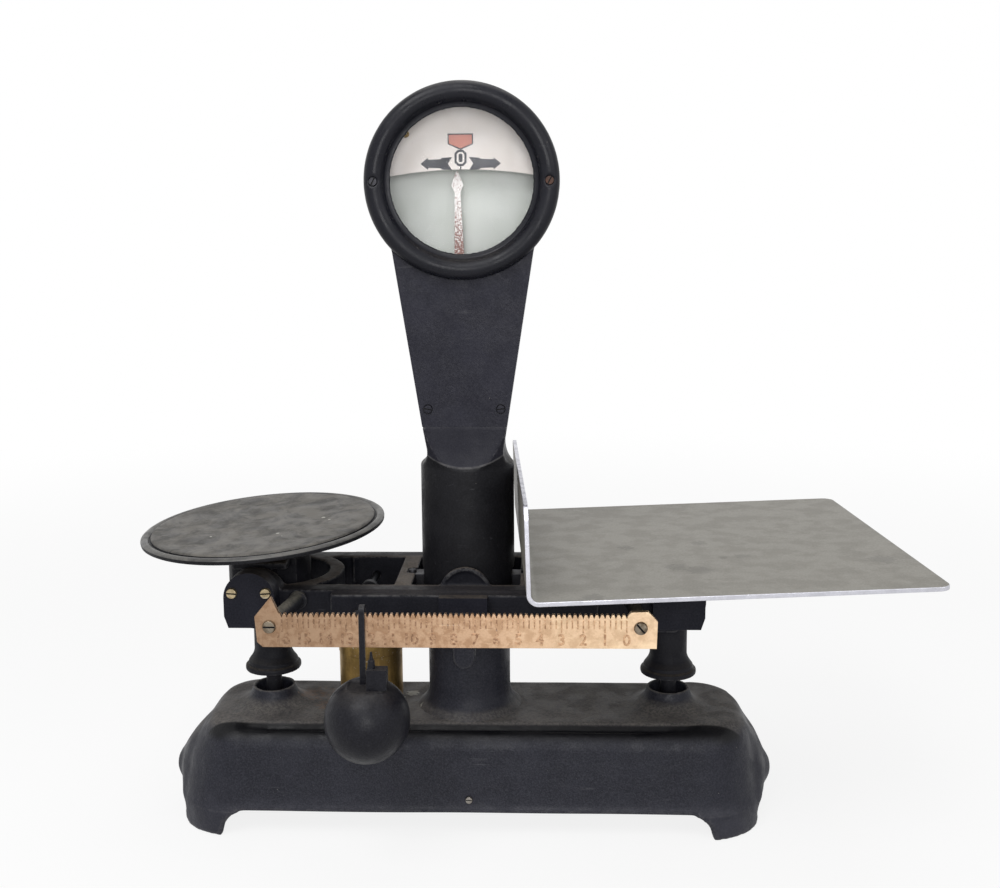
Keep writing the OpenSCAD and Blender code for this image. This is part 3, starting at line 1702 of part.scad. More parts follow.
// Square piece that leaves a rounded corner of radius r when it is cut away at the corner's tip
module corner_cut(r, h) {
    difference() {
        translate([-eps, -eps, 0])
            cube([r + eps, r + eps, h]);
        translate([r, r, -1])
            cylinder(r = r, h = h + 2);
    }
}

module bend_quarter(r) {
    linear_extrude(platter_w)
        intersection() {
            difference() {
                circle(r + platter_t);
                circle(r);
            }
            square(r + platter_t);
        }
}

// Pad under the platter that lies on the right support, with a boss that drops into its socket
module platter_boss() {
    across = arm_l - platter_x;
    pad_r = 24;
    boss_x = across * cos(platter_turn) + platter_front * sin(platter_turn);
    boss_y = platter_front * cos(platter_turn) - across * sin(platter_turn);
    lean = norm([platter_tilt, platter_tilt_back]);
    under_z = platter_z + boss_x * sin(platter_tilt) - boss_y * sin(platter_tilt_back) - platter_t;
    pad_t = under_z - flange_z - rest_gap - pad_r * sin(lean);
    color(steel)
        at_platter()
        translate([boss_x, boss_y, -platter_t]) {
            up(-pad_t)
                cylinder(r = pad_r, h = pad_t);
            up(-pad_t - socket_d + 2)
                cylinder(r = socket_r - 3, h = socket_d - 2 + eps);
        }
}

base_casting();
base_screw();
pedestal();
pedestal_bolts();
column_sleeve();
centre_bearings();
tower_front_shell();
tower_rear_shell();
tower_screws();
bezel();
bezel_screws();
window_glass();
glass_gasket();
dial_backing();
dial_chart();
dial_spacers();
dial_screws();
dashpot_cylinder();
dashpot_cap();
check_link_pin();
beam_frame();
centre_housings();
centre_knife_edges();
left_knife_edges();
right_knife_edges();
left_bearing_covers();
right_bearing_covers();
cover_screws();
pointer_bridge();
bridge_screws();
pointer_stem();
sensitivity_nut();
pointer_blade();
dashpot_cross_pin();
bar_arms();
graduated_bar();
bar_screws();
left_support();
left_bearings();
left_stem();
left_stem_pin();
right_support();
right_bearings();
right_stem();
right_stem_pin();
round_plate();
platter();
platter_boss();
check_link();
dashpot_plunger();
poise_ball();
poise_plug();
poise_strap();
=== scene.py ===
"""Finishes, fine parts and studio for the balance scale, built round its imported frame.

Lengths are written in millimetres and turned into metres where a mesh is made.
X runs along the beam to the flat platter, Y to the back, Z up, from the floor under the middle knife edge.
"""

from __future__ import annotations

import logging
import math
from dataclasses import dataclass
from enum import Enum
from typing import Callable, Optional, Sequence, Union

import bmesh
import bpy
from mathutils import Matrix, Vector, noise
from mathutils.bvhtree import BVHTree

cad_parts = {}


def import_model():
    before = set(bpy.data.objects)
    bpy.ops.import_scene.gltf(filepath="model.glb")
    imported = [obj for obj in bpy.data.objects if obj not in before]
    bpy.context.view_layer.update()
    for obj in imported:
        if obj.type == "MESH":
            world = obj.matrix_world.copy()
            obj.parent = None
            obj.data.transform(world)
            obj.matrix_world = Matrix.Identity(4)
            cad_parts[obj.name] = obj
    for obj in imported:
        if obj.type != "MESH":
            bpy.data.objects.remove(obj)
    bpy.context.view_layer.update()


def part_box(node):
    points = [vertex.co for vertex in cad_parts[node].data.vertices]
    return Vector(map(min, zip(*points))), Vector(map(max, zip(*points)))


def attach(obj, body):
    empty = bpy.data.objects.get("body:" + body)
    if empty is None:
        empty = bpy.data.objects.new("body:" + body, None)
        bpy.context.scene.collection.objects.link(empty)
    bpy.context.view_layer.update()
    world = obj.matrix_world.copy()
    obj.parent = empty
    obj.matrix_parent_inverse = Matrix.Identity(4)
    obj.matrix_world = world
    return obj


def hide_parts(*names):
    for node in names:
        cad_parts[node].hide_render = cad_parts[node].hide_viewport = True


log = logging.getLogger("scale")

MM = 0.001
ARM_L = 133.0
NODE_MERGE_M = 2e-6
POINT_MERGE_M = 1e-6
SCREW_BEVEL = 0.25

Colour = tuple[float, float, float, float]
Socket = bpy.types.NodeSocket
Input = Union[Socket, float, tuple]
Point = tuple[float, float, float]


def srgb(red: int, green: int, blue: int) -> Colour:
    """Turn a screen colour into the linear colour that a shader takes.

    Args:
        red: Red from 0 to 255.
        green: Green from 0 to 255.
        blue: Blue from 0 to 255.

    Returns:
        The linear colour, with an alpha of 1.
    """
    def linear(channel: int) -> float:
        """Return one channel as a linear value."""
        c = channel / 255
        return c / 12.92 if c <= 0.04045 else ((c + 0.055) / 1.055) ** 2.4

    return (linear(red), linear(green), linear(blue), 1.0)


class Body(Enum):
    """The bodies of the scale that pieces ride on."""

    STAND = "stand"
    BEAM = "beam"
    LEFT = "left_pan_support"
    RIGHT = "right_pan_support"
    PLATE = "plate"
    TRAY = "tray"
    LINK = "link"
    PLUNGER = "plunger"
    POISE = "poise"


class Slot(Enum):
    """The record's material slots."""

    BLACK_IRON = "black_iron"
    DUSTY_IRON = "dusty_iron"
    STEEL = "steel"
    BRASS = "brass"
    DASHPOT_BRASS = "dashpot_brass"
    COPPER_BRASS = "copper_brass"
    PLATE_METAL = "plate_metal"
    PLATTER_SHEET = "platter_sheet"
    DIAL_WHITE = "dial_white"
    POINTER_WHITE = "pointer_white"


class Graph:
    """A node tree that is being wired up."""

    def __init__(self, tree: bpy.types.NodeTree) -> None:
        """Keep the tree that nodes go into."""
        self.tree = tree

    def put(self, target: Socket, value: Input) -> None:
        """Link a socket to an input, or write a plain value on it.

        Args:
            target: The input socket.
            value: An output socket, a number or a tuple.
        """
        if isinstance(value, bpy.types.NodeSocket):
            self.tree.links.new(value, target)
        else:
            target.default_value = value

    def node(self, kind: str, inputs: Optional[dict] = None, **settings: object) -> bpy.types.Node:
        """Add a node.

        Args:
            kind: The node's type name.
            inputs: Values or sockets by input name or index.
            settings: Properties of the node.

        Returns:
            The new node.
        """
        made = self.tree.nodes.new(kind)
        for name, value in settings.items():
            setattr(made, name, value)
        for key, value in (inputs or {}).items():
            self.put(made.inputs[key], value)
        return made

    def math(self, operation: str, a: Input, b: Input = 0.0, clamp: bool = False) -> Socket:
        """Add a Math node.

        Args:
            operation: Name of the operation.
            a: First value.
            b: Second value.
            clamp: Whether the result is kept between 0 and 1.

        Returns:
            The result's socket.
        """
        made = self.node("ShaderNodeMath", {0: a, 1: b}, operation=operation, use_clamp=clamp)
        return made.outputs[0]

    def part(self, vector: Socket, axis: str) -> Socket:
        """Return one part of a vector, by the name of its axis."""
        return self.node("ShaderNodeSeparateXYZ", {"Vector": vector}).outputs[axis]

    def fade(self, value: Input, low: float, high: float, start: float = 0.0, end: float = 1.0) -> Socket:
        """Map a value smoothly from one range to another.

        Args:
            value: The value.
            low: Where the change starts.
            high: Where the change ends.
            start: The result below low.
            end: The result above high.

        Returns:
            The mapped value's socket.
        """
        made = self.node(
            "ShaderNodeMapRange",
            {"Value": value, "From Min": low, "From Max": high, "To Min": start, "To Max": end},
            interpolation_type="SMOOTHSTEP",
        )
        return made.outputs["Result"]

    def mix(self, factor: Input, a: Input, b: Input, blend: str = "MIX") -> Socket:
        """Mix two colours.

        Args:
            factor: How much of the second colour shows.
            a: First colour.
            b: Second colour.
            blend: Blend type.

        Returns:
            The mixed colour's socket.
        """
        made = self.node(
            "ShaderNodeMix", {0: factor, 6: a, 7: b}, data_type="RGBA", blend_type=blend
        )
        return made.outputs[2]

    def stretch(self, vector: Socket, scale: Point, turn: Point = (0, 0, 0)) -> Socket:
        """Scale and turn the coordinates of a pattern.

        Args:
            vector: The coordinates.
            scale: Scale along each axis.
            turn: Turn about each axis, in degrees.

        Returns:
            The new coordinates' socket.
        """
        angles = tuple(math.radians(a) for a in turn)
        made = self.node("ShaderNodeMapping", {"Vector": vector, "Scale": scale, "Rotation": angles})
        return made.outputs["Vector"]

    def noise(self, vector: Socket, scale: Input, detail: float = 4.0, rough: float = 0.5) -> Socket:
        """Add a noise texture.

        Args:
            vector: Coordinates in metres.
            scale: Waves in a metre.
            detail: Number of octaves.
            rough: Strength of the finer octaves.

        Returns:
            The noise value's socket, about 0.5 in the mean.
        """
        made = self.node(
            "ShaderNodeTexNoise",
            {"Vector": vector, "Scale": scale, "Detail": detail, "Roughness": rough},
        )
        return made.outputs["Fac"]


class Effects:
    """Shader node groups that several finishes share, each built once."""

    made: dict = {}

    @classmethod
    def group(cls, name: str, inputs: dict, output: str, fill: Callable) -> bpy.types.NodeTree:
        """Build a group, or give the one built before.

        Args:
            name: The group's name.
            inputs: Default value by input name; a tuple makes a vector input.
            output: Name of its one output.
            fill: Function that takes the graph and the input sockets and returns the result's socket.

        Returns:
            The group's node tree.
        """
        if name in cls.made:
            return cls.made[name]
        tree = bpy.data.node_groups.new(name, "ShaderNodeTree")
        for label, default in inputs.items():
            kind = "NodeSocketVector" if isinstance(default, tuple) else "NodeSocketFloat"
            made = tree.interface.new_socket(label, in_out="INPUT", socket_type=kind)
            if kind == "NodeSocketFloat":
                made.default_value = default
        tree.interface.new_socket(output, in_out="OUTPUT", socket_type="NodeSocketFloat")
        graph = Graph(tree)
        entry = graph.node("NodeGroupInput")
        leave = graph.node("NodeGroupOutput")
        graph.put(leave.inputs[output], fill(graph, entry.outputs))
        cls.made[name] = tree
        return tree

    @staticmethod
    def place(graph: Graph, tree: bpy.types.NodeTree, inputs: dict) -> Socket:
        """Put a group into a material.

        Args:
            graph: The material's graph.
            tree: The group.
            inputs: Values or sockets by input name.

        Returns:
            The group's output socket.
        """
        made = graph.node("ShaderNodeGroup", node_tree=tree)
        for name, value in inputs.items():
            graph.put(made.inputs[name], value)
        return made.outputs[0]

    @classmethod
    def mottle(cls, graph: Graph, vector: Socket, scale: float, low: float, high: float) -> Socket:
        """Return a mask of soft uneven patches.

        Args:
            graph: The material's graph.
            vector: Object coordinates.
            scale: Patches to the metre.
            low: The mask's least value.
            high: The mask's greatest value.

        Returns:
            The mask's socket.
        """
        def fill(g: Graph, i: bpy.types.NodeOutputs) -> Socket:
            """Wire the group.

            Args:
                g: The group's graph.
                i: The group's input sockets.

            Returns:
                The result's socket.
            """
            value = g.noise(i["Vector"], i["Scale"], 6.0, 0.6)
            return g.fade(value, 0.36, 0.66, 0.0, 1.0)

        tree = cls.group("mottle", {"Vector": (0, 0, 0), "Scale": 20.0}, "Mask", fill)
        mask = cls.place(graph, tree, {"Vector": vector, "Scale": scale})
        return graph.fade(mask, 0.0, 1.0, low, high)

    @classmethod
    def grain(cls, graph: Graph, vector: Socket, coarse: float, fine: float) -> Socket:
        """Return the height of sand-cast skin, low humps under a finer grain.

        Args:
            graph: The material's graph.
            vector: Object coordinates.
            coarse: Humps to the metre.
            fine: Grains to the metre.

        Returns:
            The height's socket.
        """
        def fill(g: Graph, i: bpy.types.NodeOutputs) -> Socket:
            """Wire the group.

            Args:
                g: The group's graph.
                i: The group's input sockets.

            Returns:
                The result's socket.
            """
            humps = g.noise(i["Vector"], i["Coarse"], 3.0, 0.55)
            skin = g.noise(i["Vector"], i["Fine"], 2.0, 0.6)
            return g.math("ADD", g.math("MULTIPLY", humps, 0.7), g.math("MULTIPLY", skin, 0.3))

        inputs = {"Vector": (0, 0, 0), "Coarse": 120.0, "Fine": 900.0}
        tree = cls.group("casting_grain", inputs, "Height", fill)
        return cls.place(graph, tree, {"Vector": vector, "Coarse": coarse, "Fine": fine})

    @classmethod
    def dust(cls, graph: Graph, vector: Socket, normal: Socket, amount: float) -> Socket:
        """Return a mask of dust that settled on faces that look up.

        Args:
            graph: The material's graph.
            vector: Object coordinates.
            normal: Object normal.
            amount: How strong the dust is.

        Returns:
            The mask's socket.
        """
        def fill(g: Graph, i: bpy.types.NodeOutputs) -> Socket:
            """Wire the group.

            Args:
                g: The group's graph.
                i: The group's input sockets.

            Returns:
                The result's socket.
            """
            up = g.part(i["Normal"], "Z")
            level = g.fade(up, 0.45, 0.98, 0.0, 1.0)
            patches = g.fade(g.noise(i["Vector"], 45.0, 5.0, 0.62), 0.3, 0.7, 0.65, 1.0)
            fine = g.fade(g.noise(i["Vector"], 520.0, 3.0, 0.75), 0.32, 0.66, 0.4, 1.0)
            spread = g.math("MULTIPLY", patches, fine)
            return g.math("MULTIPLY", g.math("MULTIPLY", level, spread), i["Amount"], clamp=True)

        inputs = {"Vector": (0, 0, 0), "Normal": (0, 0, 1), "Amount": 1.0}
        tree = cls.group("settled_dust", inputs, "Mask", fill)
        return cls.place(graph, tree, {"Vector": vector, "Normal": normal, "Amount": amount})

    @classmethod
    def scratches(cls, graph: Graph, vector: Socket, scale: float, share: float) -> Socket:
        """Return a mask of fine scratches in three directions.

        Args:
            graph: The material's graph.
            vector: Object coordinates.
            scale: Scratches to the metre.
            share: How strong they are.

        Returns:
            The mask's socket.
        """
        def fill(g: Graph, i: bpy.types.NodeOutputs) -> Socket:
            """Wire the group.

            Args:
                g: The group's graph.
                i: The group's input sockets.

            Returns:
                The result's socket.
            """
            total: Input = 0.0
            for turn in (12.0, 71.0, 141.0):
                lines = g.stretch(i["Vector"], (0.06, 1.0, 1.0), (0, 0, turn))
                value = g.noise(lines, i["Scale"], 2.0, 0.75)
                total = g.math("MAXIMUM", total, g.fade(value, 0.66, 0.78))
            picked = g.fade(g.noise(i["Vector"], 60.0, 2.0), 0.42, 0.62)
            return g.math("MULTIPLY", g.math("MULTIPLY", total, picked), i["Share"], clamp=True)

        inputs = {"Vector": (0, 0, 0), "Scale": 500.0, "Share": 1.0}
        tree = cls.group("scratches", inputs, "Mask", fill)
        return cls.place(graph, tree, {"Vector": vector, "Scale": scale, "Share": share})

    @classmethod
    def specks(cls, graph: Graph, vector: Socket, scale: float, size: float) -> Socket:
        """Return a mask of small ragged spots.

        Args:
            graph: The material's graph.
            vector: Object coordinates.
            scale: Cells to the metre, some with a spot.
            size: A spot's size, as a share of its cell.

        Returns:
            The mask's socket.
        """
        def fill(g: Graph, i: bpy.types.NodeOutputs) -> Socket:
            """Wire the group.

            Args:
                g: The group's graph.
                i: The group's input sockets.

            Returns:
                The result's socket.
            """
            cells = g.node("ShaderNodeTexVoronoi", {"Vector": i["Vector"], "Scale": i["Scale"]})
            ragged = g.math("MULTIPLY", g.noise(i["Vector"], 1400.0, 2.0), i["Size"])
            near = g.math("LESS_THAN", g.math("ADD", cells.outputs["Distance"], ragged), i["Size"])
            chance = g.part(cells.outputs["Color"], "X")
            return g.math("MULTIPLY", near, g.math("GREATER_THAN", chance, 0.6))

        inputs = {"Vector": (0, 0, 0), "Scale": 200.0, "Size": 0.15}
        tree = cls.group("specks", inputs, "Mask", fill)
        return cls.place(graph, tree, {"Vector": vector, "Scale": scale, "Size": size})

    @classmethod
    def wear(cls, graph: Graph, vector: Socket, edge: Socket, share: float) -> Socket:
        """Return a broken mask along outer edges.

        Args:
            graph: The material's graph.
            vector: Object coordinates.
            edge: How far the surface bends outwards.
            share: How much is worn.

        Returns:
            The mask's socket.
        """
        def fill(g: Graph, i: bpy.types.NodeOutputs) -> Socket:
            """Wire the group.

            Args:
                g: The group's graph.
                i: The group's input sockets.

            Returns:
                The result's socket.
            """
            broken = g.fade(g.noise(i["Vector"], 260.0, 4.0, 0.7), 0.38, 0.6)
            strong = g.fade(i["Edge"], 0.4, 1.0)
            return g.math("MULTIPLY", g.math("MULTIPLY", strong, broken), i["Share"], clamp=True)

        tree = cls.group("edge_wear", {"Vector": (0, 0, 0), "Edge": 0.0, "Share": 0.5}, "Mask", fill)
        return cls.place(graph, tree, {"Vector": vector, "Edge": edge, "Share": share})

    @classmethod
    def spot(cls, graph: Graph, vector: Socket, centre: Point, radius: float) -> Socket:
        """Return a mask of one ragged spot.

        Args:
            graph: The material's graph.
            vector: Object coordinates.
            centre: The spot's middle, in millimetres.
            radius: Its radius, in millimetres.

        Returns:
            The mask's socket.
        """
        def fill(g: Graph, i: bpy.types.NodeOutputs) -> Socket:
            """Wire the group.

            Args:
                g: The group's graph.
                i: The group's input sockets.

            Returns:
                The result's socket.
            """
            ends = {0: i["Vector"], 1: i["Centre"]}
            away = g.node("ShaderNodeVectorMath", ends, operation="DISTANCE")
            swing = g.math("SUBTRACT", g.noise(i["Vector"], 420.0, 4.0), 0.5)
            ragged = g.math("MULTIPLY", swing, i["Radius"])
            reach = g.math("ADD", away.outputs["Value"], g.math("MULTIPLY", ragged, 2.2))
            return g.fade(g.math("DIVIDE", reach, i["Radius"]), 0.7, 1.15, 1.0, 0.0)

        inputs = {"Vector": (0, 0, 0), "Centre": (0, 0, 0), "Radius": 0.004}
        tree = cls.group("spot", inputs, "Mask", fill)
        middle = tuple(c * MM for c in centre)
        return cls.place(graph, tree, {"Vector": vector, "Centre": middle, "Radius": radius * MM})

    @classmethod
    def swirls(cls, graph: Graph, vector: Socket, scale: float) -> Socket:
        """Return a mask of wiped curls of dust.

        Args:
            graph: The material's graph.
            vector: Object coordinates.
            scale: Curls to the metre.

        Returns:
            The mask's socket.
        """
        def fill(g: Graph, i: bpy.types.NodeOutputs) -> Socket:
            """Wire the group.

            Args:
                g: The group's graph.
                i: The group's input sockets.

            Returns:
                The result's socket.
            """
            wave = {"Vector": i["Vector"], "Scale": i["Scale"], "Detail": 8.0, "Roughness": 0.68}
            curls = g.node("ShaderNodeTexNoise", wave | {"Distortion": 1.0}).outputs["Fac"]
            fine = g.noise(i["Vector"], 520.0, 4.0, 0.75)
            return g.math("ADD", g.fade(curls, 0.3, 0.7, 0.0, 0.55), g.math("MULTIPLY", fine, 0.45))

        tree = cls.group("swirls", {"Vector": (0, 0, 0), "Scale": 20.0}, "Mask", fill)
        return cls.place(graph, tree, {"Vector": vector, "Scale": scale})


@dataclass(frozen=True)
class Finish:
    """What every finish of the scale has: a name, a colour and a shader that it fills in."""

    name: str
    colour: Colour

    def material(self) -> bpy.types.Material:
        """Build the finish's material on its first use.

        Returns:
            The material.
        """
        known = bpy.data.materials.get(self.name)
        if known is not None:
            return known
        made = bpy.data.materials.new(self.name)
        made.use_nodes = True
        made.node_tree.nodes.clear()
        graph = Graph(made.node_tree)
        shader = graph.node("ShaderNodeBsdfPrincipled")
        output = graph.node("ShaderNodeOutputMaterial")
        graph.put(output.inputs["Surface"], shader.outputs["BSDF"])
        place = graph.node("ShaderNodeTexCoord")
        self.fill(graph, shader, place.outputs["Object"], place.outputs["Normal"])
        return made

    def fill(self, graph: Graph, shader: bpy.types.Node, place: Socket, normal: Socket) -> None:
        """Wire the finish's own pattern. A plain finish has its colour alone.

        Args:
            graph: The material's graph.
            shader: The Principled shader.
            place: Object coordinates.
            normal: Object normal.
        """
        shader.inputs["Base Color"].default_value = self.colour

    @staticmethod
    def bump(graph: Graph, shader: bpy.types.Node, height: Socket, depth: float) -> None:
        """Give the shader a relief.

        Args:
            graph: The material's graph.
            shader: The Principled shader.
            height: Height from 0 to 1.
            depth: What a height of 1 stands for, in millimetres.
        """
        made = graph.node("ShaderNodeBump", {"Strength": 1.0, "Distance": depth * MM, "Height": height})
        graph.put(shader.inputs["Normal"], made.outputs["Normal"])


@dataclass(frozen=True)
class IronPaint(Finish):
    """Old black paint on cast iron, with dust on its upper faces and chips."""

    worn: Colour = srgb(36, 36, 41)
    skin: Colour = srgb(48, 48, 53)
    dust_colour: Colour = srgb(104, 98, 90)
    dust_amount: float = 0.5
    roughness: float = 0.48
    specular: float = 0.14
    relief: float = 0.35
    chips: float = 0.05
    grain_share: float = 0.4
    grit: float = 0.0
    rubbed: float = 0.5
    # colour of rubbed edges; the sleeve's paint also uses it for a painted highlight line
    rubbed_colour: Colour = srgb(86, 85, 86)
    scratch_colour: Colour = srgb(76, 76, 80)
    chip_colour: Colour = srgb(112, 108, 104)
    grit_colour: Colour = srgb(116, 113, 108)
    bare_colour: Colour = srgb(168, 166, 158)
    bare: tuple[tuple[Point, float], ...] = ()

    def settled(self, graph: Graph, place: Socket) -> Input:
        """Return how much of the dust stays, by place."""
        return 1.0

    def shaded(self, graph: Graph, place: Socket, paint: Socket) -> Socket:
        """Add to the paint what it has at certain places only, which is pale spots.

        Args:
            graph: The material's graph.
            place: Object coordinates.
            paint: The paint's colour so far.

        Returns:
            The new colour's socket.
        """
        for centre, radius in self.bare:
            paint = graph.mix(Effects.spot(graph, place, centre, radius), paint, self.bare_colour)
        return paint

    def fill(self, graph: Graph, shader: bpy.types.Node, place: Socket, normal: Socket) -> None:
        """Wire paint, wear, dust, chips and the casting's skin.

        Args:
            graph: The material's graph.
            shader: The Principled shader.
            place: Object coordinates.
            normal: Object normal.
        """
        patches = Effects.mottle(graph, place, 40.0, 0.0, 0.5)
        paint = graph.mix(patches, self.colour, self.worn)
        skin = graph.noise(place, 900.0, 3.0, 0.7)
        paint = graph.mix(graph.fade(skin, 0.35, 0.7, 0.0, self.grain_share), paint, self.skin)
        marks = Effects.scratches(graph, place, 420.0, 0.35)
        paint = graph.mix(marks, paint, self.scratch_colour)
        edge = graph.node("ShaderNodeAttribute", attribute_name="edge").outputs["Fac"]
        paint = graph.mix(Effects.wear(graph, place, edge, self.rubbed), paint, self.rubbed_colour)
        dust = Effects.dust(graph, place, normal, self.dust_amount)
        dust = graph.math("MULTIPLY", dust, self.settled(graph, place))
        paint = graph.mix(dust, paint, self.dust_colour)
        chips = Effects.specks(graph, place, 110.0, self.chips)
        paint = graph.mix(chips, paint, self.chip_colour)
        if self.grit > 0.0:
            grains = Effects.specks(graph, place, 480.0, self.grit)
            paint = graph.mix(graph.math("MULTIPLY", grains, 0.7), paint, self.grit_colour)
        graph.put(shader.inputs["Base Color"], self.shaded(graph, place, paint))
        gloss = Effects.mottle(graph, place, 70.0, self.roughness - 0.07, self.roughness + 0.1)
        dull = graph.math("MULTIPLY", dust, 0.3)
        graph.put(shader.inputs["Roughness"], graph.math("ADD", gloss, dull, True))
        shader.inputs["Specular IOR Level"].default_value = self.specular
        self.bump(graph, shader, Effects.grain(graph, place, 150.0, 1100.0), self.relief)


@dataclass(frozen=True)
class BasePaint(IronPaint):
    """The base's paint: dust lies on the deck, and shade is painted into the groove round the deck."""

    deck_half: float = 36.5
    groove_out: float = 50.0
    groove_z: float = 61.0
    groove_colour: Colour = srgb(8, 8, 11)
    low_z: float = 32.0
    low_colour: Colour = srgb(66, 66, 74)
    rust_colour: Colour = srgb(112, 92, 78)
    rust: tuple[tuple[Point, float], ...] = ()

    def side(self, graph: Graph, place: Socket) -> Socket:
        """Return the distance from the middle plane."""
        return graph.math("ABSOLUTE", graph.part(place, "Y"))

    def settled(self, graph: Graph, place: Socket) -> Input:
        """Return the share of dust: whole on the deck and little past the groove."""
        edge = self.deck_half * MM
        return graph.fade(self.side(graph, place), edge, edge + 0.003, 1.0, 0.12)

    def shaded(self, graph: Graph, place: Socket, paint: Socket) -> Socket:
        """Add painted shade in the groove, the paler foot, the rust and the pale spots.

        Args:
            graph: The material's graph.
            place: Object coordinates.
            paint: The paint's colour so far.

        Returns:
            The new colour's socket.
        """
        side = self.side(graph, place)
        # painted shade: the groove round the deck is darkened where shade falls in it
        start = graph.fade(side, (self.deck_half - 0.5) * MM, (self.deck_half + 1.5) * MM)
        end = graph.fade(side, (self.groove_out - 6.0) * MM, self.groove_out * MM, 1.0, 0.0)
        height = graph.part(place, "Z")
        above = graph.fade(height, (self.groove_z - 3) * MM, (self.groove_z + 3) * MM)
        dark = graph.math("MULTIPLY", graph.math("MULTIPLY", start, end), above)
        paint = graph.mix(graph.math("MULTIPLY", dark, 0.97), paint, self.groove_colour)
        low = graph.fade(height, 0.3 * self.low_z * MM, self.low_z * MM, 0.42, 0.0)
        cloud = Effects.mottle(graph, place, 55.0, 0.5, 1.0)
        paint = graph.mix(graph.math("MULTIPLY", low, cloud), paint, self.low_colour)
        fine = Effects.mottle(graph, place, 300.0, 0.1, 0.8)
        for centre, radius in self.rust:
            share = graph.math("MULTIPLY", Effects.spot(graph, place, centre, radius), fine)
            paint = graph.mix(share, paint, self.rust_colour)
        return super().shaded(graph, place, paint)


@dataclass(frozen=True)
class SleevePaint(IronPaint):
    """The sleeve's paint, lighter above the curved edge of its sloped hood, with a painted highlight along
    that edge that also stands for wear.
    """

    hood: Colour = srgb(20, 20, 28)
    edge_z: float = 236.0
    rise: float = 12.0

    def shaded(self, graph: Graph, place: Socket, paint: Socket) -> Socket:
        """Add the lighter hood, and a painted highlight, also wear, along its curved edge.

        Args:
            graph: The material's graph.
            place: Object coordinates.
            paint: The paint's colour so far.

        Returns:
            The new colour's socket.
        """
        along = graph.part(place, "X")
        curve = graph.math("MULTIPLY", graph.math("MULTIPLY", along, along), self.rise)
        above_curve = graph.math("SUBTRACT", graph.part(place, "Z"), curve)
        level = graph.math("SUBTRACT", above_curve, self.edge_z * MM)
        above = graph.fade(level, -0.5 * MM, 0.5 * MM)
        paint = graph.mix(above, paint, self.hood, "ADD")
        # painted highlight along the hood's curved edge, which also stands for rubbed wear
        line = graph.fade(graph.math("ABSOLUTE", level), 0.3 * MM, 0.9 * MM, 1.0, 0.0)
        broken = Effects.mottle(graph, place, 160.0, 0.25, 0.75)
        paint = graph.mix(graph.math("MULTIPLY", line, broken), paint, self.rubbed_colour)
        return super().shaded(graph, place, paint)


@dataclass(frozen=True)
class BeamPaint(IronPaint):
    """The beam's paint: dust lies on the ribs between the rails and little on the rails."""

    rail_in: float = 33.0
    rail_w: float = 5.0
    rail_share: float = 0.16

    def settled(self, graph: Graph, place: Socket) -> Input:
        """Return the share of dust: whole between the rails."""
        side = graph.math("ABSOLUTE", graph.part(place, "Y"))
        return graph.fade(side, self.rail_in * MM, (self.rail_in + self.rail_w) * MM, 1.0, self.rail_share)


@dataclass(frozen=True)
class DustyPlate(IronPaint):
    """Dark paint under wiped curls of dust."""

    swirl_scale: float = 26.0
    least: float = 0.45
    most: float = 0.95

    def shaded(self, graph: Graph, place: Socket, paint: Socket) -> Socket:
        """Lay the curls of dust over the paint.

        Args:
            graph: The material's graph.
            place: Object coordinates.
            paint: The paint's colour so far.

        Returns:
            The new colour's socket.
        """
        curls = Effects.swirls(graph, place, self.swirl_scale)
        share = graph.fade(curls, 0.2, 0.75, self.least, self.most)
        paint = graph.mix(share, paint, self.dust_colour)
        return super().shaded(graph, place, paint)


@dataclass(frozen=True)
class WornMetal(Finish):
    """Bare metal that has gone dull, with stains and scratches."""

    stain: Colour = srgb(90, 84, 74)
    stain_share: float = 0.5
    stain_scale: float = 30.0
    metallic: float = 1.0
    roughness: float = 0.38
    scratch: float = 0.5
    scratch_colour: Colour = srgb(210, 208, 202)
    spot_share: float = 0.5
    relief: float = 0.05
    brushed: Point = (1.0, 1.0, 1.0)
    spots: tuple[tuple[Point, float], ...] = ()

    def tint(self, graph: Graph, place: Socket, tone: Socket) -> Socket:
        """Add the metal's dark spots.

        Args:
            graph: The material's graph.
            place: Object coordinates.
            tone: The metal's colour so far.

        Returns:
            The new colour's socket.
        """
        for centre, radius in self.spots:
            share = graph.math("MULTIPLY", Effects.spot(graph, place, centre, radius), self.spot_share)
            tone = graph.mix(share, tone, self.stain)
        return tone

    def fill(self, graph: Graph, shader: bpy.types.Node, place: Socket, normal: Socket) -> None:
        """Wire the metal's tone, its stains, scratches and fine relief.

        Args:
            graph: The material's graph.
            shader: The Principled shader.
            place: Object coordinates.
            normal: Object normal.
        """
        stains = Effects.mottle(graph, place, self.stain_scale, 0.0, self.stain_share)
        tone = graph.mix(stains, self.colour, self.stain)
        lines = graph.noise(graph.stretch(place, self.brushed), 900.0, 3.0, 0.6)
        tone = graph.mix(graph.fade(lines, 0.3, 0.7, 0.0, 0.18), tone, self.stain)
        marks = Effects.scratches(graph, place, 520.0, self.scratch)
        tone = graph.mix(marks, tone, self.scratch_colour)
        graph.put(shader.inputs["Base Color"], self.tint(graph, place, tone))
        grain = graph.fade(lines, 0.2, 0.8, self.roughness - 0.05, self.roughness + 0.06)
        rough = graph.math("ADD", grain, graph.math("MULTIPLY", stains, 0.25))
        bright = graph.math("MULTIPLY", marks, 0.1)
        graph.put(shader.inputs["Roughness"], graph.math("SUBTRACT", rough, bright, True))
        shader.inputs["Metallic"].default_value = self.metallic
        height = graph.math("SUBTRACT", lines, graph.math("MULTIPLY", marks, 0.8))
        self.bump(graph, shader, height, self.relief)


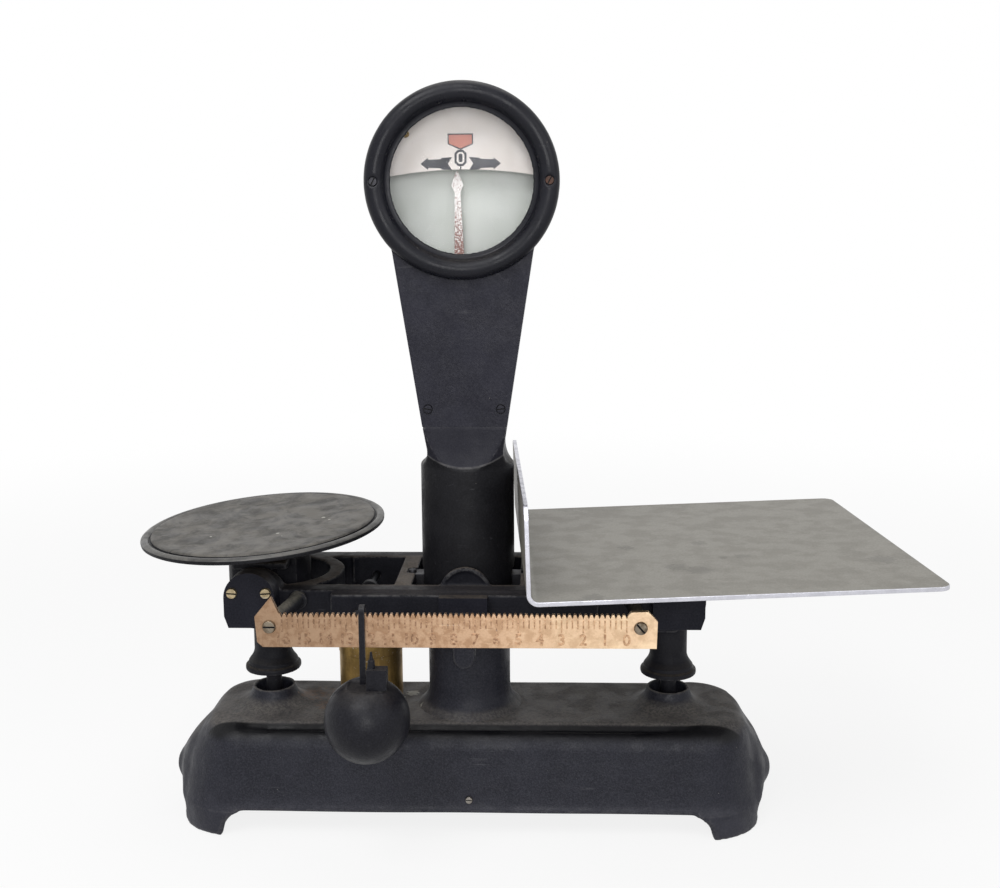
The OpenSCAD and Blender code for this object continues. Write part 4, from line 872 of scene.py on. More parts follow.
@dataclass(frozen=True)
class HandledBrass(WornMetal):
    """Brass that is darker towards its left end, with a painted highlight towards its right end."""

    dull_x: float = -130.0
    clean_x: float = 80.0
    bright_x: float = 95.0
    grime: Colour = srgb(104, 86, 70)
    bright: Colour = srgb(255, 232, 196)

    def tint(self, graph: Graph, place: Socket, tone: Socket) -> Socket:
        """Darken towards the left end and add a painted highlight towards the right.

        Args:
            graph: The material's graph.
            place: Object coordinates.
            tone: The metal's colour so far.

        Returns:
            The new colour's socket.
        """
        along = graph.part(place, "X")
        # darker towards the left end
        tone = graph.mix(graph.fade(along, self.dull_x * MM, self.clean_x * MM, 0.6, 0.0), tone, self.grime)
        # painted highlight towards the right end
        rubbed = graph.fade(along, 0.0, self.bright_x * MM, 0.0, 0.6)
        cloud = Effects.mottle(graph, place, 45.0, 0.5, 1.0)
        return graph.mix(graph.math("MULTIPLY", rubbed, cloud), tone, self.bright)


@dataclass(frozen=True)
class Enamel(Finish):
    """Stoved paint on thin sheet, yellowed in patches and speckled."""

    aged: Colour = srgb(196, 184, 172)
    speck: Colour = srgb(120, 96, 84)
    speck_size: float = 0.05
    speck_scale: float = 260.0
    aged_share: float = 0.35
    roughness: float = 0.42

    def fill(self, graph: Graph, shader: bpy.types.Node, place: Socket, normal: Socket) -> None:
        """Wire the paint, its aged patches and specks.

        Args:
            graph: The material's graph.
            shader: The Principled shader.
            place: Object coordinates.
            normal: Object normal.
        """
        patches = Effects.mottle(graph, place, 40.0, 0.0, self.aged_share)
        paint = graph.mix(patches, self.colour, self.aged)
        marks = Effects.specks(graph, place, self.speck_scale, self.speck_size)
        graph.put(shader.inputs["Base Color"], graph.mix(marks, paint, self.speck))
        gloss = Effects.mottle(graph, place, 90.0, self.roughness - 0.05, self.roughness + 0.08)
        graph.put(shader.inputs["Roughness"], gloss)
        self.bump(graph, shader, graph.noise(place, 1500.0, 2.0), 0.02)


@dataclass(frozen=True)
class PeeledPaint(Enamel):
    """White paint that has peeled off a brown ground, more so towards the pointer's foot."""

    ground: Colour = srgb(150, 108, 100)
    whole_z: float = 412.0
    peeled_z: float = 366.0

    def fill(self, graph: Graph, shader: bpy.types.Node, place: Socket, normal: Socket) -> None:
        """Wire the paint's flakes over its ground.

        Args:
            graph: The material's graph.
            shader: The Principled shader.
            place: Object coordinates.
            normal: Object normal.
        """
        height = graph.part(place, "Z")
        lost = graph.fade(height, self.peeled_z * MM, self.whole_z * MM, 0.5, 0.36)
        flakes = graph.noise(place, 800.0, 4.0, 0.7)
        share = graph.fade(graph.math("ADD", flakes, lost), 0.9, 0.98)
        graph.put(shader.inputs["Base Color"], graph.mix(share, self.colour, self.ground))
        gloss = graph.fade(share, 0.0, 1.0, self.roughness, self.roughness + 0.3)
        graph.put(shader.inputs["Roughness"], gloss)
        self.bump(graph, shader, graph.math("SUBTRACT", 1.0, share), 0.04)


@dataclass(frozen=True)
class ClearGlass(Finish):
    """Thin window glass with a faint film of dirt."""

    roughness: float = 0.03
    clearness: float = 0.015
    specular: float = 0.4

    def fill(self, graph: Graph, shader: bpy.types.Node, place: Socket, normal: Socket) -> None:
        """Wire the film and the plain glass values.

        Args:
            graph: The material's graph.
            shader: The Principled shader.
            place: Object coordinates.
            normal: Object normal.
        """
        film = Effects.mottle(graph, place, 35.0, self.clearness, self.clearness + 0.02)
        graph.put(shader.inputs["Alpha"], film)
        shader.inputs["Base Color"].default_value = self.colour
        shader.inputs["Roughness"].default_value = self.roughness
        shader.inputs["Specular IOR Level"].default_value = self.specular


@dataclass(frozen=True)
class Rubber(Finish):
    """Hardened gasket rubber."""

    bloom: Colour = srgb(52, 50, 48)

    def fill(self, graph: Graph, shader: bpy.types.Node, place: Socket, normal: Socket) -> None:
        """Wire the faint bloom on the rubber.

        Args:
            graph: The material's graph.
            shader: The Principled shader.
            place: Object coordinates.
            normal: Object normal.
        """
        patches = Effects.mottle(graph, place, 120.0, 0.0, 0.5)
        graph.put(shader.inputs["Base Color"], graph.mix(patches, self.colour, self.bloom))
        shader.inputs["Roughness"].default_value = 0.8
        self.bump(graph, shader, graph.noise(place, 1400.0, 2.0), 0.03)


BLACK_PAINT = IronPaint("black_paint", srgb(24, 25, 31))
BASE_PAINT = BasePaint(
    "base_paint", srgb(21, 22, 30), worn=srgb(34, 35, 43), skin=srgb(56, 56, 64), dust_amount=1.0,
    dust_colour=srgb(108, 104, 100), roughness=0.44, specular=0.19, relief=0.55, grain_share=0.5, grit=0.1,
    rubbed=0.3,
    rust=(((-113.0, 6.0, 70.0), 9.0), ((-104.0, 10.0, 70.0), 12.0), ((-95.0, -8.0, 70.0), 9.0)),
    # pale spots on the deck
    bare=(((-40.0, 13.0, 70.0), 4.5), ((-31.0, -10.0, 70.0), 1.8), ((-46.0, 6.0, 70.0), 1.5)))
TOWER_PAINT = IronPaint(
    "tower_paint", srgb(23, 23, 32), worn=srgb(34, 34, 44), skin=srgb(52, 52, 60), dust_amount=0.25,
    roughness=0.44, specular=0.16, grit=0.05,
    bare=(((37.6, -32.0, 381.3), 0.8), ((39.6, -32.0, 383.2), 0.6), ((41.6, -32.0, 385.2), 0.6)))
BEZEL_PAINT = IronPaint(
    "bezel_paint", srgb(15, 16, 22), worn=srgb(22, 22, 29), skin=srgb(28, 28, 36), dust_amount=0.2,
    roughness=0.34, specular=0.19, relief=0.2, rubbed=0.0)
SLEEVE_PAINT = SleevePaint(
    "sleeve_paint", srgb(16, 16, 19), worn=srgb(24, 24, 27), skin=srgb(36, 36, 40), dust_amount=0.4,
    specular=0.14, grit=0.07)
BEAM_PAINT = BeamPaint(
    "beam_paint", srgb(17, 18, 24), worn=srgb(28, 28, 34), skin=srgb(38, 38, 44), dust_amount=1.0,
    dust_colour=srgb(102, 94, 86), specular=0.1)
COVER_PAINT = IronPaint(
    "cover_paint", srgb(18, 19, 27), worn=srgb(30, 30, 38), skin=srgb(42, 42, 50), dust_amount=0.6,
    dust_colour=srgb(92, 84, 74), specular=0.1)
ARM_PAINT = IronPaint("arm_paint", srgb(30, 31, 34), dust_amount=0.95, dust_colour=srgb(112, 108, 98))
POISE_PAINT = IronPaint(
    "poise_paint", srgb(12, 12, 18), worn=srgb(20, 20, 26), skin=srgb(40, 40, 46), dust_amount=0.3,
    dust_colour=srgb(92, 88, 84), roughness=0.38, specular=0.16, grit=0.07)
SUPPORT_PAINT = IronPaint(
    "support_paint", srgb(18, 18, 23), worn=srgb(30, 30, 35), skin=srgb(40, 40, 44), dust_amount=0.65,
    dust_colour=srgb(92, 84, 72), specular=0.12)
BOLT_IRON = IronPaint("bolt_iron", srgb(34, 32, 31), worn=srgb(66, 50, 40), dust_amount=0.8)
DULL_STEEL = WornMetal("dull_steel", srgb(150, 146, 140), stain=srgb(92, 78, 66))
RUST_IRON = IronPaint(
    "rust_iron", srgb(48, 40, 38), worn=srgb(104, 66, 46), skin=srgb(66, 50, 44), dust_amount=0.0,
    specular=0.2)
# painted shade for the walls and floors of screw slots
SLOT_SHADE = IronPaint("slot_shade", srgb(16, 15, 14), worn=srgb(34, 30, 26), dust_amount=0.0, specular=0.1)
DARK_STEEL = WornMetal("dark_steel", srgb(60, 60, 64), stain=srgb(38, 36, 36), roughness=0.45, scratch=0.3)
SCREW_BRASS = WornMetal(
    "screw_brass", srgb(186, 170, 138), stain=srgb(108, 94, 70), stain_scale=240.0, roughness=0.34)
OLD_BRASS = WornMetal(
    "old_brass", srgb(168, 138, 82), stain=srgb(84, 68, 42), stain_share=0.75, brushed=(1.0, 1.0, 0.08))
BAR_BRASS = HandledBrass(
    "bar_brass", srgb(214, 178, 146), stain=srgb(166, 130, 100), stain_share=0.75, stain_scale=190.0,
    roughness=0.36, scratch=0.4, scratch_colour=srgb(240, 216, 184), relief=0.14)
BAR_MARKS = HandledBrass(
    "bar_marks", srgb(206, 168, 136), stain=srgb(132, 100, 78), stain_share=0.9, stain_scale=520.0,
    roughness=0.4, bright=srgb(214, 178, 140), relief=0.05)
BAR_STEEL = WornMetal(
    "bar_steel", srgb(134, 124, 110), stain=srgb(84, 70, 56), stain_share=0.7, stain_scale=260.0)
PLATE_TOP = DustyPlate(
    "plate_top", srgb(40, 39, 38), worn=srgb(52, 50, 47), dust_colour=srgb(99, 96, 91), dust_amount=0.1,
    least=0.1, most=0.96, specular=0.25, roughness=0.5, relief=0.12, grit=0.04, swirl_scale=36.0,
    bare=(((-164.1, -28.5, 190.9), 0.9), ((-120.6, -29.0, 193.5), 1.0), ((-96.9, 3.3, 196.1), 1.2),
          ((-91.6, -3.3, 196.2), 0.8), ((-116.3, -36.1, 193.5), 0.6)))
PLATE_RIM = DustyPlate(
    "plate_rim", srgb(30, 30, 31), worn=srgb(44, 44, 45), dust_colour=srgb(92, 90, 86), dust_amount=0.2,
    least=0.1, most=0.8, specular=0.4, roughness=0.34, relief=0.1, swirl_scale=60.0)
# dark paint of the plate's underside, also used as painted shade in the groove round its disc
PLATE_UNDER_AND_GROOVE_SHADE = IronPaint("plate_under_and_groove_shade", srgb(15, 15, 17), worn=srgb(26, 26, 28), dust_amount=0.0, specular=0.1)
PLATTER_TOP = WornMetal(
    "platter_top", srgb(128, 125, 117), stain=srgb(90, 87, 82), stain_share=0.24, stain_scale=55.0,
    metallic=0.35, roughness=0.46, scratch=0.35, scratch_colour=srgb(160, 157, 150),
    spots=(((103.4, -9.4, 181.9), 5.4), ((151.6, -2.7, 183.2), 5.8), ((130.5, -60.0, 183.4), 8.0),
           ((144.0, -68.0, 183.8), 9.0), ((173.5, -38.0, 184.3), 5.0), ((162.0, -41.0, 184.0), 4.0),
           ((257.0, -55.0, 186.9), 9.0), ((76.5, -119.0, 182.6), 7.0)))
PLATTER_EDGE = WornMetal(
    "platter_edge", srgb(206, 206, 214), stain=srgb(160, 160, 166), roughness=0.28, stain_scale=120.0)
CHART_WHITE = Enamel("chart_white", srgb(226, 219, 215), aged_share=0.25)
BACK_WHITE = Enamel("backing_white", srgb(206, 210, 205), aged=srgb(192, 198, 190), aged_share=0.5)
POINTER_PAINT = PeeledPaint("pointer_paint", srgb(244, 240, 238))
PRINT_BLACK = Enamel("print_black", srgb(30, 30, 42), aged=srgb(52, 52, 64), speck=srgb(120, 118, 122))
PRINT_RED = Enamel("print_red", srgb(196, 122, 106), aged=srgb(178, 110, 94), speck=srgb(222, 170, 158))
WINDOW_GLASS = ClearGlass("window_glass_clear", srgb(236, 240, 240))
GASKET_RUBBER = Rubber("gasket_rubber", srgb(34, 33, 33))


class Bench:
    """Ways of making, joining and finishing the scale's meshes."""

    least_bend: float = 38.0
    cast_sharp: float = 75.0
    flat_within: float = 0.6
    eased_sharp: float = 30.0

    @staticmethod
    def adopt(name: str, shape: bmesh.types.BMesh, sharp: float = 35.0) -> bpy.types.Object:
        """Turn a bmesh into an object of the scene.

        Args:
            name: The piece's name.
            shape: The bmesh, which is freed.
            sharp: Angle past which an edge stays sharp, in degrees.

        Returns:
            The new object, at the origin.
        """
        mesh = bpy.data.meshes.new(name)
        shape.to_mesh(mesh)
        shape.free()
        return Bench.link(name, mesh, sharp)

    @staticmethod
    def link(name: str, mesh: bpy.types.Mesh, sharp: float) -> bpy.types.Object:
        """Link a mesh as an object with smooth faces and sharp edges past an angle.

        Args:
            name: The piece's name.
            mesh: Its mesh.
            sharp: The angle, in degrees.

        Returns:
            The new object.
        """
        mesh.name = name
        mesh.materials.clear()
        mesh.shade_smooth()
        mesh.set_sharp_from_angle(angle=math.radians(sharp))
        made = bpy.data.objects.new(name, mesh)
        bpy.context.scene.collection.objects.link(made)
        return made

    @staticmethod
    def evaluated(obj: bpy.types.Object) -> bpy.types.Mesh:
        """Make a mesh of an object as its modifiers leave it.

        Args:
            obj: The object.

        Returns:
            The new mesh.
        """
        view = bpy.context.evaluated_depsgraph_get()
        view.update()
        return bpy.data.meshes.new_from_object(obj.evaluated_get(view))

    @staticmethod
    def smooth(shape: bmesh.types.BMesh, verts: Sequence[bmesh.types.BMVert], passes: int) -> None:
        """Smooth some points of a shape.

        Args:
            shape: The shape.
            verts: The points.
            passes: How many times.
        """
        for _ in range(passes):
            bmesh.ops.smooth_vert(
                shape, verts=verts, factor=0.5, use_axis_x=True, use_axis_y=True, use_axis_z=True)

    @staticmethod
    def settle(obj: bpy.types.Object) -> bpy.types.Object:
        """Apply all modifiers of an object to its mesh.

        Args:
            obj: The object.

        Returns:
            The same object, with no modifiers left.
        """
        mesh = Bench.evaluated(obj)
        obj.modifiers.clear()
        old = obj.data
        obj.data = mesh
        mesh.name = obj.name
        bpy.data.meshes.remove(old)
        return obj

    @staticmethod
    def node_shape(node: str) -> bmesh.types.BMesh:
        """Return a merged copy of a node of the frame.

        Args:
            node: The node's name.

        Returns:
            A bmesh of its own.
        """
        shape = bmesh.new()
        shape.from_mesh(bpy.data.objects[node].data)
        bmesh.ops.remove_doubles(shape, verts=shape.verts, dist=NODE_MERGE_M)
        return shape

    @classmethod
    def cast(cls, node: str, name: str, voxel: float, passes: int, sculpt: Optional[Callable] = None,
             crisp: Optional[Callable] = None, cutters: Sequence[bpy.types.Object] = ()) -> bpy.types.Object:
        """Make a casting with soft edges from a node.

        Args:
            node: The node that the casting stands for.
            name: The piece's name.
            voxel: Size of its faces, in millimetres.
            passes: Number of smoothing passes, which set how round the edges are.
            sculpt: Function that shapes the bmesh further, if any.
            crisp: Function that tells which points stay unsmoothed, if any.
            cutters: Solids that are cut away first, which are used up.

        Returns:
            The finished object, with an edge attribute that says how far it bends outwards.
        """
        made = cls.adopt(name, cls.node_shape(node))
        for cutter in cutters:
            cut = made.modifiers.new("cut", "BOOLEAN")
            cut.operation = "DIFFERENCE"
            cut.object = cutter
        remesh = made.modifiers.new("skin", "REMESH")
        remesh.mode = "VOXEL"
        remesh.voxel_size = voxel * MM
        cls.settle(made)
        for cutter in cutters:
            bpy.data.objects.remove(cutter)
        shape = bmesh.new()
        shape.from_mesh(made.data)
        cls.smooth(shape, [v for v in shape.verts if crisp is None or not crisp(v)], passes)
        if sculpt is not None:
            sculpt(shape)
        bend = shape.verts.layers.float.new("edge")
        for v in shape.verts:
            v[bend] = sum(edge.calc_face_angle_signed(0.0) for edge in v.link_edges)
        shape.to_mesh(made.data)
        shape.free()
        made.data.shade_smooth()
        made.data.set_sharp_from_angle(angle=math.radians(cls.cast_sharp))
        return made

    @classmethod
    def ease(cls, node: str, name: str, width: float, segments: int = 2,
             crisp: Optional[Callable] = None) -> bpy.types.Object:
        """Make a piece with eased edges from a node.

        Args:
            node: The node that the piece stands for.
            name: The piece's name.
            width: Width of the bevels, in millimetres.
            segments: Number of faces across a bevel.
            crisp: Function that tells which edges stay sharp, if any.

        Returns:
            The finished object, with an edge attribute of 1 on its bevels.
        """
        shape = cls.node_shape(node)
        bmesh.ops.dissolve_limit(
            shape, angle_limit=math.radians(cls.flat_within), verts=shape.verts, edges=shape.edges)
        weight = shape.edges.layers.float.new("bevel_weight_edge")
        for edge in shape.edges:
            bent = edge.is_manifold and edge.calc_face_angle(0.0) > math.radians(cls.least_bend)
            edge[weight] = 1.0 if bent and not (crisp is not None and crisp(edge)) else 0.0
        made = cls.adopt(name, shape, cls.eased_sharp)
        bevel = made.modifiers.new("eased", "BEVEL")
        bevel.width = width * MM
        bevel.segments = segments
        bevel.limit_method = "WEIGHT"
        bevel.use_clamp_overlap = True
        bevel.harden_normals = True
        bevel.material = 1
        for _ in range(2):
            made.data.materials.append(None)
        cls.settle(made)
        worn = made.data.attributes.new("edge", "FLOAT", "FACE")
        for face, mark in zip(made.data.polygons, worn.data):
            mark.value = float(face.material_index == 1)
        made.data.materials.clear()
        return made

    @staticmethod
    def mark_slots(piece: bpy.types.Object, width: float, index: int) -> None:
        """Give the walls and floors of narrow slots their own material index, which carries painted shade.

        Args:
            piece: A finished piece.
            width: Width of the widest slot, in millimetres.
            index: The material index.
        """
        shape = bmesh.new()
        shape.from_mesh(piece.data)
        shape.faces.ensure_lookup_table()
        solid = BVHTree.FromBMesh(shape)
        slots = set()
        for face in shape.faces:
            start = face.calc_center_median() + face.normal * 0.02 * MM
            _, facing, number, _ = solid.ray_cast(start, face.normal, width * MM)
            if number is not None and facing.dot(face.normal) < -0.9:
                slots.add(face)
        for _ in range(2):
            near = {other for face in slots for edge in face.edges for other in edge.link_faces
                    if len(edge.link_faces) == 2 and edge.calc_face_angle_signed() < -0.1}
            slots |= near
        for face in slots:
            face.material_index = index
        shape.to_mesh(piece.data)
        shape.free()

    @staticmethod
    def split_right(piece: bpy.types.Object) -> None:
        """Give the faces right of the middle their own material index.

        Args:
            piece: A finished piece.
        """
        for face in piece.data.polygons:
            if face.center.x > 0:
                face.material_index = 1

    @staticmethod
    def spin(profile: Sequence[tuple[float, float]], steps: int) -> bmesh.types.BMesh:
        """Turn a profile about the Z axis.

        Args:
            profile: Radius and height of each point, in millimetres, from the axis round to the axis.
            steps: Number of faces round.

        Returns:
            The turned shape, closed, with its faces outwards.
        """
        shape = bmesh.new()
        chain = [shape.verts.new((r * MM, 0, z * MM)) for r, z in profile]
        edges = [shape.edges.new(pair) for pair in zip(chain, chain[1:])]
        bmesh.ops.spin(
            shape, geom=chain + edges, cent=(0, 0, 0), axis=(0, 0, 1), angle=math.tau,
            steps=steps, use_merge=True)
        bmesh.ops.remove_doubles(shape, verts=shape.verts, dist=POINT_MERGE_M)
        bmesh.ops.recalc_face_normals(shape, faces=shape.faces)
        return shape

    @staticmethod
    def slab(outline: Sequence[tuple[float, float]], thick: float) -> bmesh.types.BMesh:
        """Make a flat slab from an outline in X and Z, its front towards the viewer.

        Args:
            outline: X and Z of each corner, in millimetres.
            thick: Thickness towards the back, in millimetres.

        Returns:
            The slab, with its front at Y = 0.
        """
        shape = bmesh.new()
        face = shape.faces.new([shape.verts.new((x * MM, 0, z * MM)) for x, z in outline])
        made = bmesh.ops.extrude_face_region(shape, geom=[face])
        moved = [v for v in made["geom"] if isinstance(v, bmesh.types.BMVert)]
        bmesh.ops.translate(shape, verts=moved, vec=(0, thick * MM, 0))
        bmesh.ops.recalc_face_normals(shape, faces=shape.faces)
        return shape

    @staticmethod
    def stamp(text: str, height: float, relief: float, bold: float) -> bmesh.types.BMesh:
        """Make a raised number, upright in X and Z, centred, with its back at Y = 0.

        Args:
            text: The figures.
            height: Height of a figure, in millimetres.
            relief: How far it stands out, in millimetres.
            bold: How much wider its strokes are on each side, in millimetres.

        Returns:
            The number's shape.
        """
        curve = bpy.data.curves.new("stamp", "FONT")
        curve.body = text
        curve.size = height * MM / 0.7
        curve.align_x = "CENTER"
        curve.align_y = "CENTER"
        curve.extrude = relief * MM / 2
        curve.offset = bold * MM
        curve.resolution_u = 3
        holder = bpy.data.objects.new("stamp", curve)
        bpy.context.scene.collection.objects.link(holder)
        mesh = Bench.evaluated(holder)
        shape = bmesh.new()
        shape.from_mesh(mesh)
        bpy.data.objects.remove(holder)
        bpy.data.curves.remove(curve)
        bpy.data.meshes.remove(mesh)
        bmesh.ops.remove_doubles(shape, verts=shape.verts, dist=POINT_MERGE_M)
        upright = Matrix.Rotation(math.pi / 2, 3, "X")
        bmesh.ops.rotate(shape, verts=shape.verts, cent=(0, 0, 0), matrix=upright)
        bmesh.ops.translate(shape, verts=shape.verts, vec=(0, -relief * MM / 2, 0))
        return shape

    @staticmethod
    def join(shapes: Sequence[tuple[bmesh.types.BMesh, Matrix]]) -> bmesh.types.BMesh:
        """Join shapes into one, each at its own place.

        Args:
            shapes: Shapes with the matrix that places each; they are freed.

        Returns:
            One shape with all of them.
        """
        whole = bmesh.new()
        for shape, place in shapes:
            shape.transform(place)
            mesh = bpy.data.meshes.new("part")
            shape.to_mesh(mesh)
            shape.free()
            whole.from_mesh(mesh)
            bpy.data.meshes.remove(mesh)
        return whole


@dataclass
class Fitter:
    """Puts finished pieces on the scale's bodies and dresses the frame's own nodes."""

    count: int = 0

    def fit(self, piece: bpy.types.Object, body: Body, slot: Slot, *finishes: Finish,
            nodes: Sequence[str] = ()) -> bpy.types.Object:
        """Dress a piece and let it ride on its body.

        Args:
            piece: The finished piece.
            body: The body that it moves with.
            slot: Not used.
            finishes: One finish for each of its material indices.
            nodes: Nodes of the frame that it stands for.

        Returns:
            The piece.
        """
        for finish in finishes:
            piece.data.materials.append(finish.material())
        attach(piece, body.value)
        if nodes:
            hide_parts(*nodes)
        self.count += 1
        log.info("%s: %d faces on %s", piece.name, len(piece.data.polygons), body.value)
        return piece

    def eased(self, node: str, name: str, width: float, body: Body, slot: Slot, *finishes: Finish,
              slot_w: float = 0.0) -> None:
        """Make a piece with eased edges from a node, and fit it.

        Args:
            node: The node that it stands for.
            name: The piece's name.
            width: Width of its bevels, in millimetres.
            body: The body that it moves with.
            slot: Passed on to fit, which does not use it.
            finishes: Its finish, and after it the painted shade of its screw slots, if it has any.
            slot_w: Width of the widest screw slot, in millimetres, or 0 for none.
        """
        piece = Bench.ease(node, name, width)
        if slot_w > 0.0:
            Bench.mark_slots(piece, slot_w, len(finishes) - 1)
        self.fit(piece, body, slot, *finishes, nodes=[node])

    def dress(self, finish: Finish, *nodes: str) -> None:
        """Give nodes of the frame a finish.

        Args:
            finish: The finish.
            nodes: The nodes' names.
        """
        for name in nodes:
            obj = bpy.data.objects[name]
            obj.data.materials.clear()
            obj.data.materials.append(finish.material())


def ease_in(value: float, low: float, high: float) -> float:
    """Return a smooth step from 0 at low to 1 at high."""
    t = min(max((value - low) / (high - low), 0.0), 1.0)
    return t * t * (3 - 2 * t)


@dataclass
class Base:
    """The base casting with its pedestal and small parts."""

    left_end: float = -190.5
    right_end: float = 192.0
    deck_z: float = 70.0
    foot_r: float = 36.0
    lean: float = 6.0
    shoulder_z: float = 54.0
    foot_z: float = 3.0
    nose_z: float = 30.0
    nose_out: float = 10.0
    nose_spread: float = 23.0
    nose_start: float = 170.0
    nose_passes: int = 24
    slump: float = 6.0
    slump_x: tuple[float, float] = (140.0, 182.0)
    slump_z: float = 62.0
    slump_h: float = 15.0
    collar_r: tuple[float, float] = (14.0, 17.0)
    groove_mid: float = 40.5
    groove_half_w: float = 3.4
    groove_depth: float = 1.6
    groove_half_l: float = 140.0
    groove_fade: float = 12.0
    groove_z: float = 60.0
    wave: float = 0.35
    wave_l: float = 60.0
    band_z: float = 17.5
    band_fade: float = 1.5
    band_out: float = 0.8
    rim_h: float = 2.5
    rim_w: float = 4.0
    rim_sink: float = 1.1

    def sculpt(self, shape: bmesh.types.BMesh) -> None:
        """Swell the noses, slump the left shoulder, hollow the groove, raise the foot's band.

        Args:
            shape: The base's mesh.
        """
        for v in shape.verts:
            x, y, z = v.co / MM
            end = self.right_end if x > 0 else -self.left_end
            wall = end - self.lean * min(z, self.shoulder_z) / self.deck_z
            reach = math.hypot(y, z - self.nose_z)
            if abs(x) > wall - 1.5 and z > self.foot_z and reach < 3 * self.nose_spread:
                swell = self.nose_out * math.exp(-((reach / self.nose_spread) ** 2))
                v.co.x = math.copysign(max(abs(x), wall + swell), x) * MM
            left = ease_in(-x, *self.slump_x)
            level = math.exp(-(((z - self.slump_z) / self.slump_h) ** 2))
            off_collar = ease_in(math.hypot(x + ARM_L, y), *self.collar_r)
            v.co.x += self.slump * MM * left * level * off_collar
            if z > self.groove_z:
                across = abs(y) - self.groove_mid
                ends = ease_in(self.groove_half_l - abs(x), -self.groove_fade, 0.0)
                v.co.z -= self.groove_depth * math.exp(-((across / self.groove_half_w) ** 2)) * ends * MM
            drift = noise.noise(Vector((x, y, z)) / self.wave_l) * self.wave
            if z > self.foot_z:
                v.co += v.normal * drift * MM
            if abs(v.normal.z) < 0.5 and x * v.normal.x + y * v.normal.y > 0:
                band = 1.0 - ease_in(z, self.band_z - self.band_fade, self.band_z + self.band_fade)
                v.co += Vector((v.normal.x, v.normal.y, 0)) * band * self.band_out * MM
        Bench.smooth(shape, [v for v in shape.verts if self.by_nose(v)], self.nose_passes)

    def sink_rim(self, shape: bmesh.types.BMesh) -> None:
        """Sink the thin rim of the pedestal's foot into the deck.

        Args:
            shape: The pedestal's mesh.
        """
        for v in shape.verts:
            out = math.hypot(v.co.x, v.co.y) / MM
            if v.co.z < (self.deck_z + self.rim_h) * MM:
                v.co.z -= self.rim_sink * ease_in(out, self.foot_r - self.rim_w, self.foot_r) * MM

    def by_nose(self, v: bmesh.types.BMVert) -> bool:
        """Tell whether a point lies on a nose or on the wall round it.

        Args:
            v: A point of the base.

        Returns:
            True where it does.
        """
        x, y, z = v.co / MM
        around = math.hypot(y, z - self.nose_z) < 2.0 * self.nose_spread
        return around and abs(x) > self.nose_start and z > self.foot_z + 4.0

    def build(self, fitter: Fitter) -> None:
        """Make and fit the base's pieces.

        Args:
            fitter: Puts them in place.
        """
        body = Bench.cast("base_casting", "base_body", 1.6, 2, self.sculpt)
        fitter.fit(body, Body.STAND, Slot.BLACK_IRON, BASE_PAINT, nodes=["base_casting"])
        fitter.eased(
            "base_screw", "base_front_screw", SCREW_BEVEL, Body.STAND, Slot.STEEL, DULL_STEEL, SLOT_SHADE,
            slot_w=1.2)
        foot = Bench.cast("pedestal", "pedestal_body", 1.1, 3, self.sink_rim)
        fitter.fit(foot, Body.STAND, Slot.BLACK_IRON, BASE_PAINT, nodes=["pedestal"])
        fitter.eased("pedestal_bolts", "pedestal_hex_bolts", 0.4, Body.STAND, Slot.STEEL, BOLT_IRON)
        fitter.eased("check_link", "check_lever", 0.8, Body.LINK, Slot.BLACK_IRON, BLACK_PAINT)
        fitter.dress(DARK_STEEL, "check_link_pin", "centre_bearings")


@dataclass
class Tower:
    """The column sleeve, the two shells of the tower, the bezel and the window."""

    seam_z: float = 262.0
    sharp_h: float = 1.0
    crisp_h: float = 3.0
    soft_h: float = 1.2
    raised_h: float = 2.2
    clear_h: float = 0.15
    drawn_in: float = 0.99
    tower_slot_w: float = 1.6

    def by_seam(self, edge: bmesh.types.BMEdge) -> bool:
        """Tell whether an edge lies in the seam between shells and sleeve."""
        return all(v.co.z < (self.seam_z + self.sharp_h) * MM for v in edge.verts)

    def near_seam(self, v: bmesh.types.BMVert) -> bool:
        """Tell whether a point of the sleeve lies close under the seam."""
        return v.co.z > (self.seam_z - self.crisp_h) * MM

    def close_seam(self, shape: bmesh.types.BMesh) -> None:
        """Raise the sleeve's soft upper edge into the shells' wall.

        Args:
            shape: The sleeve's mesh.
        """
        for v in shape.verts:
            if v.co.z > (self.seam_z - self.soft_h) * MM:
                v.co.z += self.raised_h * MM
            if v.co.z > (self.seam_z + self.clear_h) * MM:
                v.co.x *= self.drawn_in
                v.co.y *= self.drawn_in

    def build(self, fitter: Fitter) -> None:
        """Make and fit the tower's pieces.

        Args:
            fitter: Puts them in place.
        """
        sleeve = Bench.cast("column_sleeve", "sleeve_body", 0.9, 2, self.close_seam, self.near_seam)
        fitter.fit(sleeve, Body.STAND, Slot.BLACK_IRON, SLEEVE_PAINT, nodes=["column_sleeve"])
        for side in ("front", "rear"):
            shell = Bench.ease(f"tower_{side}_shell", f"{side}_shell_body", 1.2, 3, self.by_seam)
            fitter.fit(shell, Body.STAND, Slot.BLACK_IRON, TOWER_PAINT, nodes=[f"tower_{side}_shell"])
        ring = Bench.cast("bezel", "bezel_ring", 0.8, 3)
        fitter.fit(ring, Body.STAND, Slot.BLACK_IRON, BEZEL_PAINT, nodes=["bezel"])
        screws = Bench.ease("bezel_screws", "bezel_slotted_screws", SCREW_BEVEL)
        Bench.split_right(screws)
        Bench.mark_slots(screws, self.tower_slot_w, 2)
        fitter.fit(screws, Body.STAND, Slot.STEEL, DARK_STEEL, RUST_IRON, SLOT_SHADE, nodes=["bezel_screws"])
        fitter.eased(
            "tower_screws", "tower_slotted_screws", SCREW_BEVEL, Body.STAND, Slot.STEEL,
            TOWER_PAINT, SLOT_SHADE, slot_w=self.tower_slot_w)
        fitter.dress(WINDOW_GLASS, "window_glass")
        fitter.dress(GASKET_RUBBER, "glass_gasket")


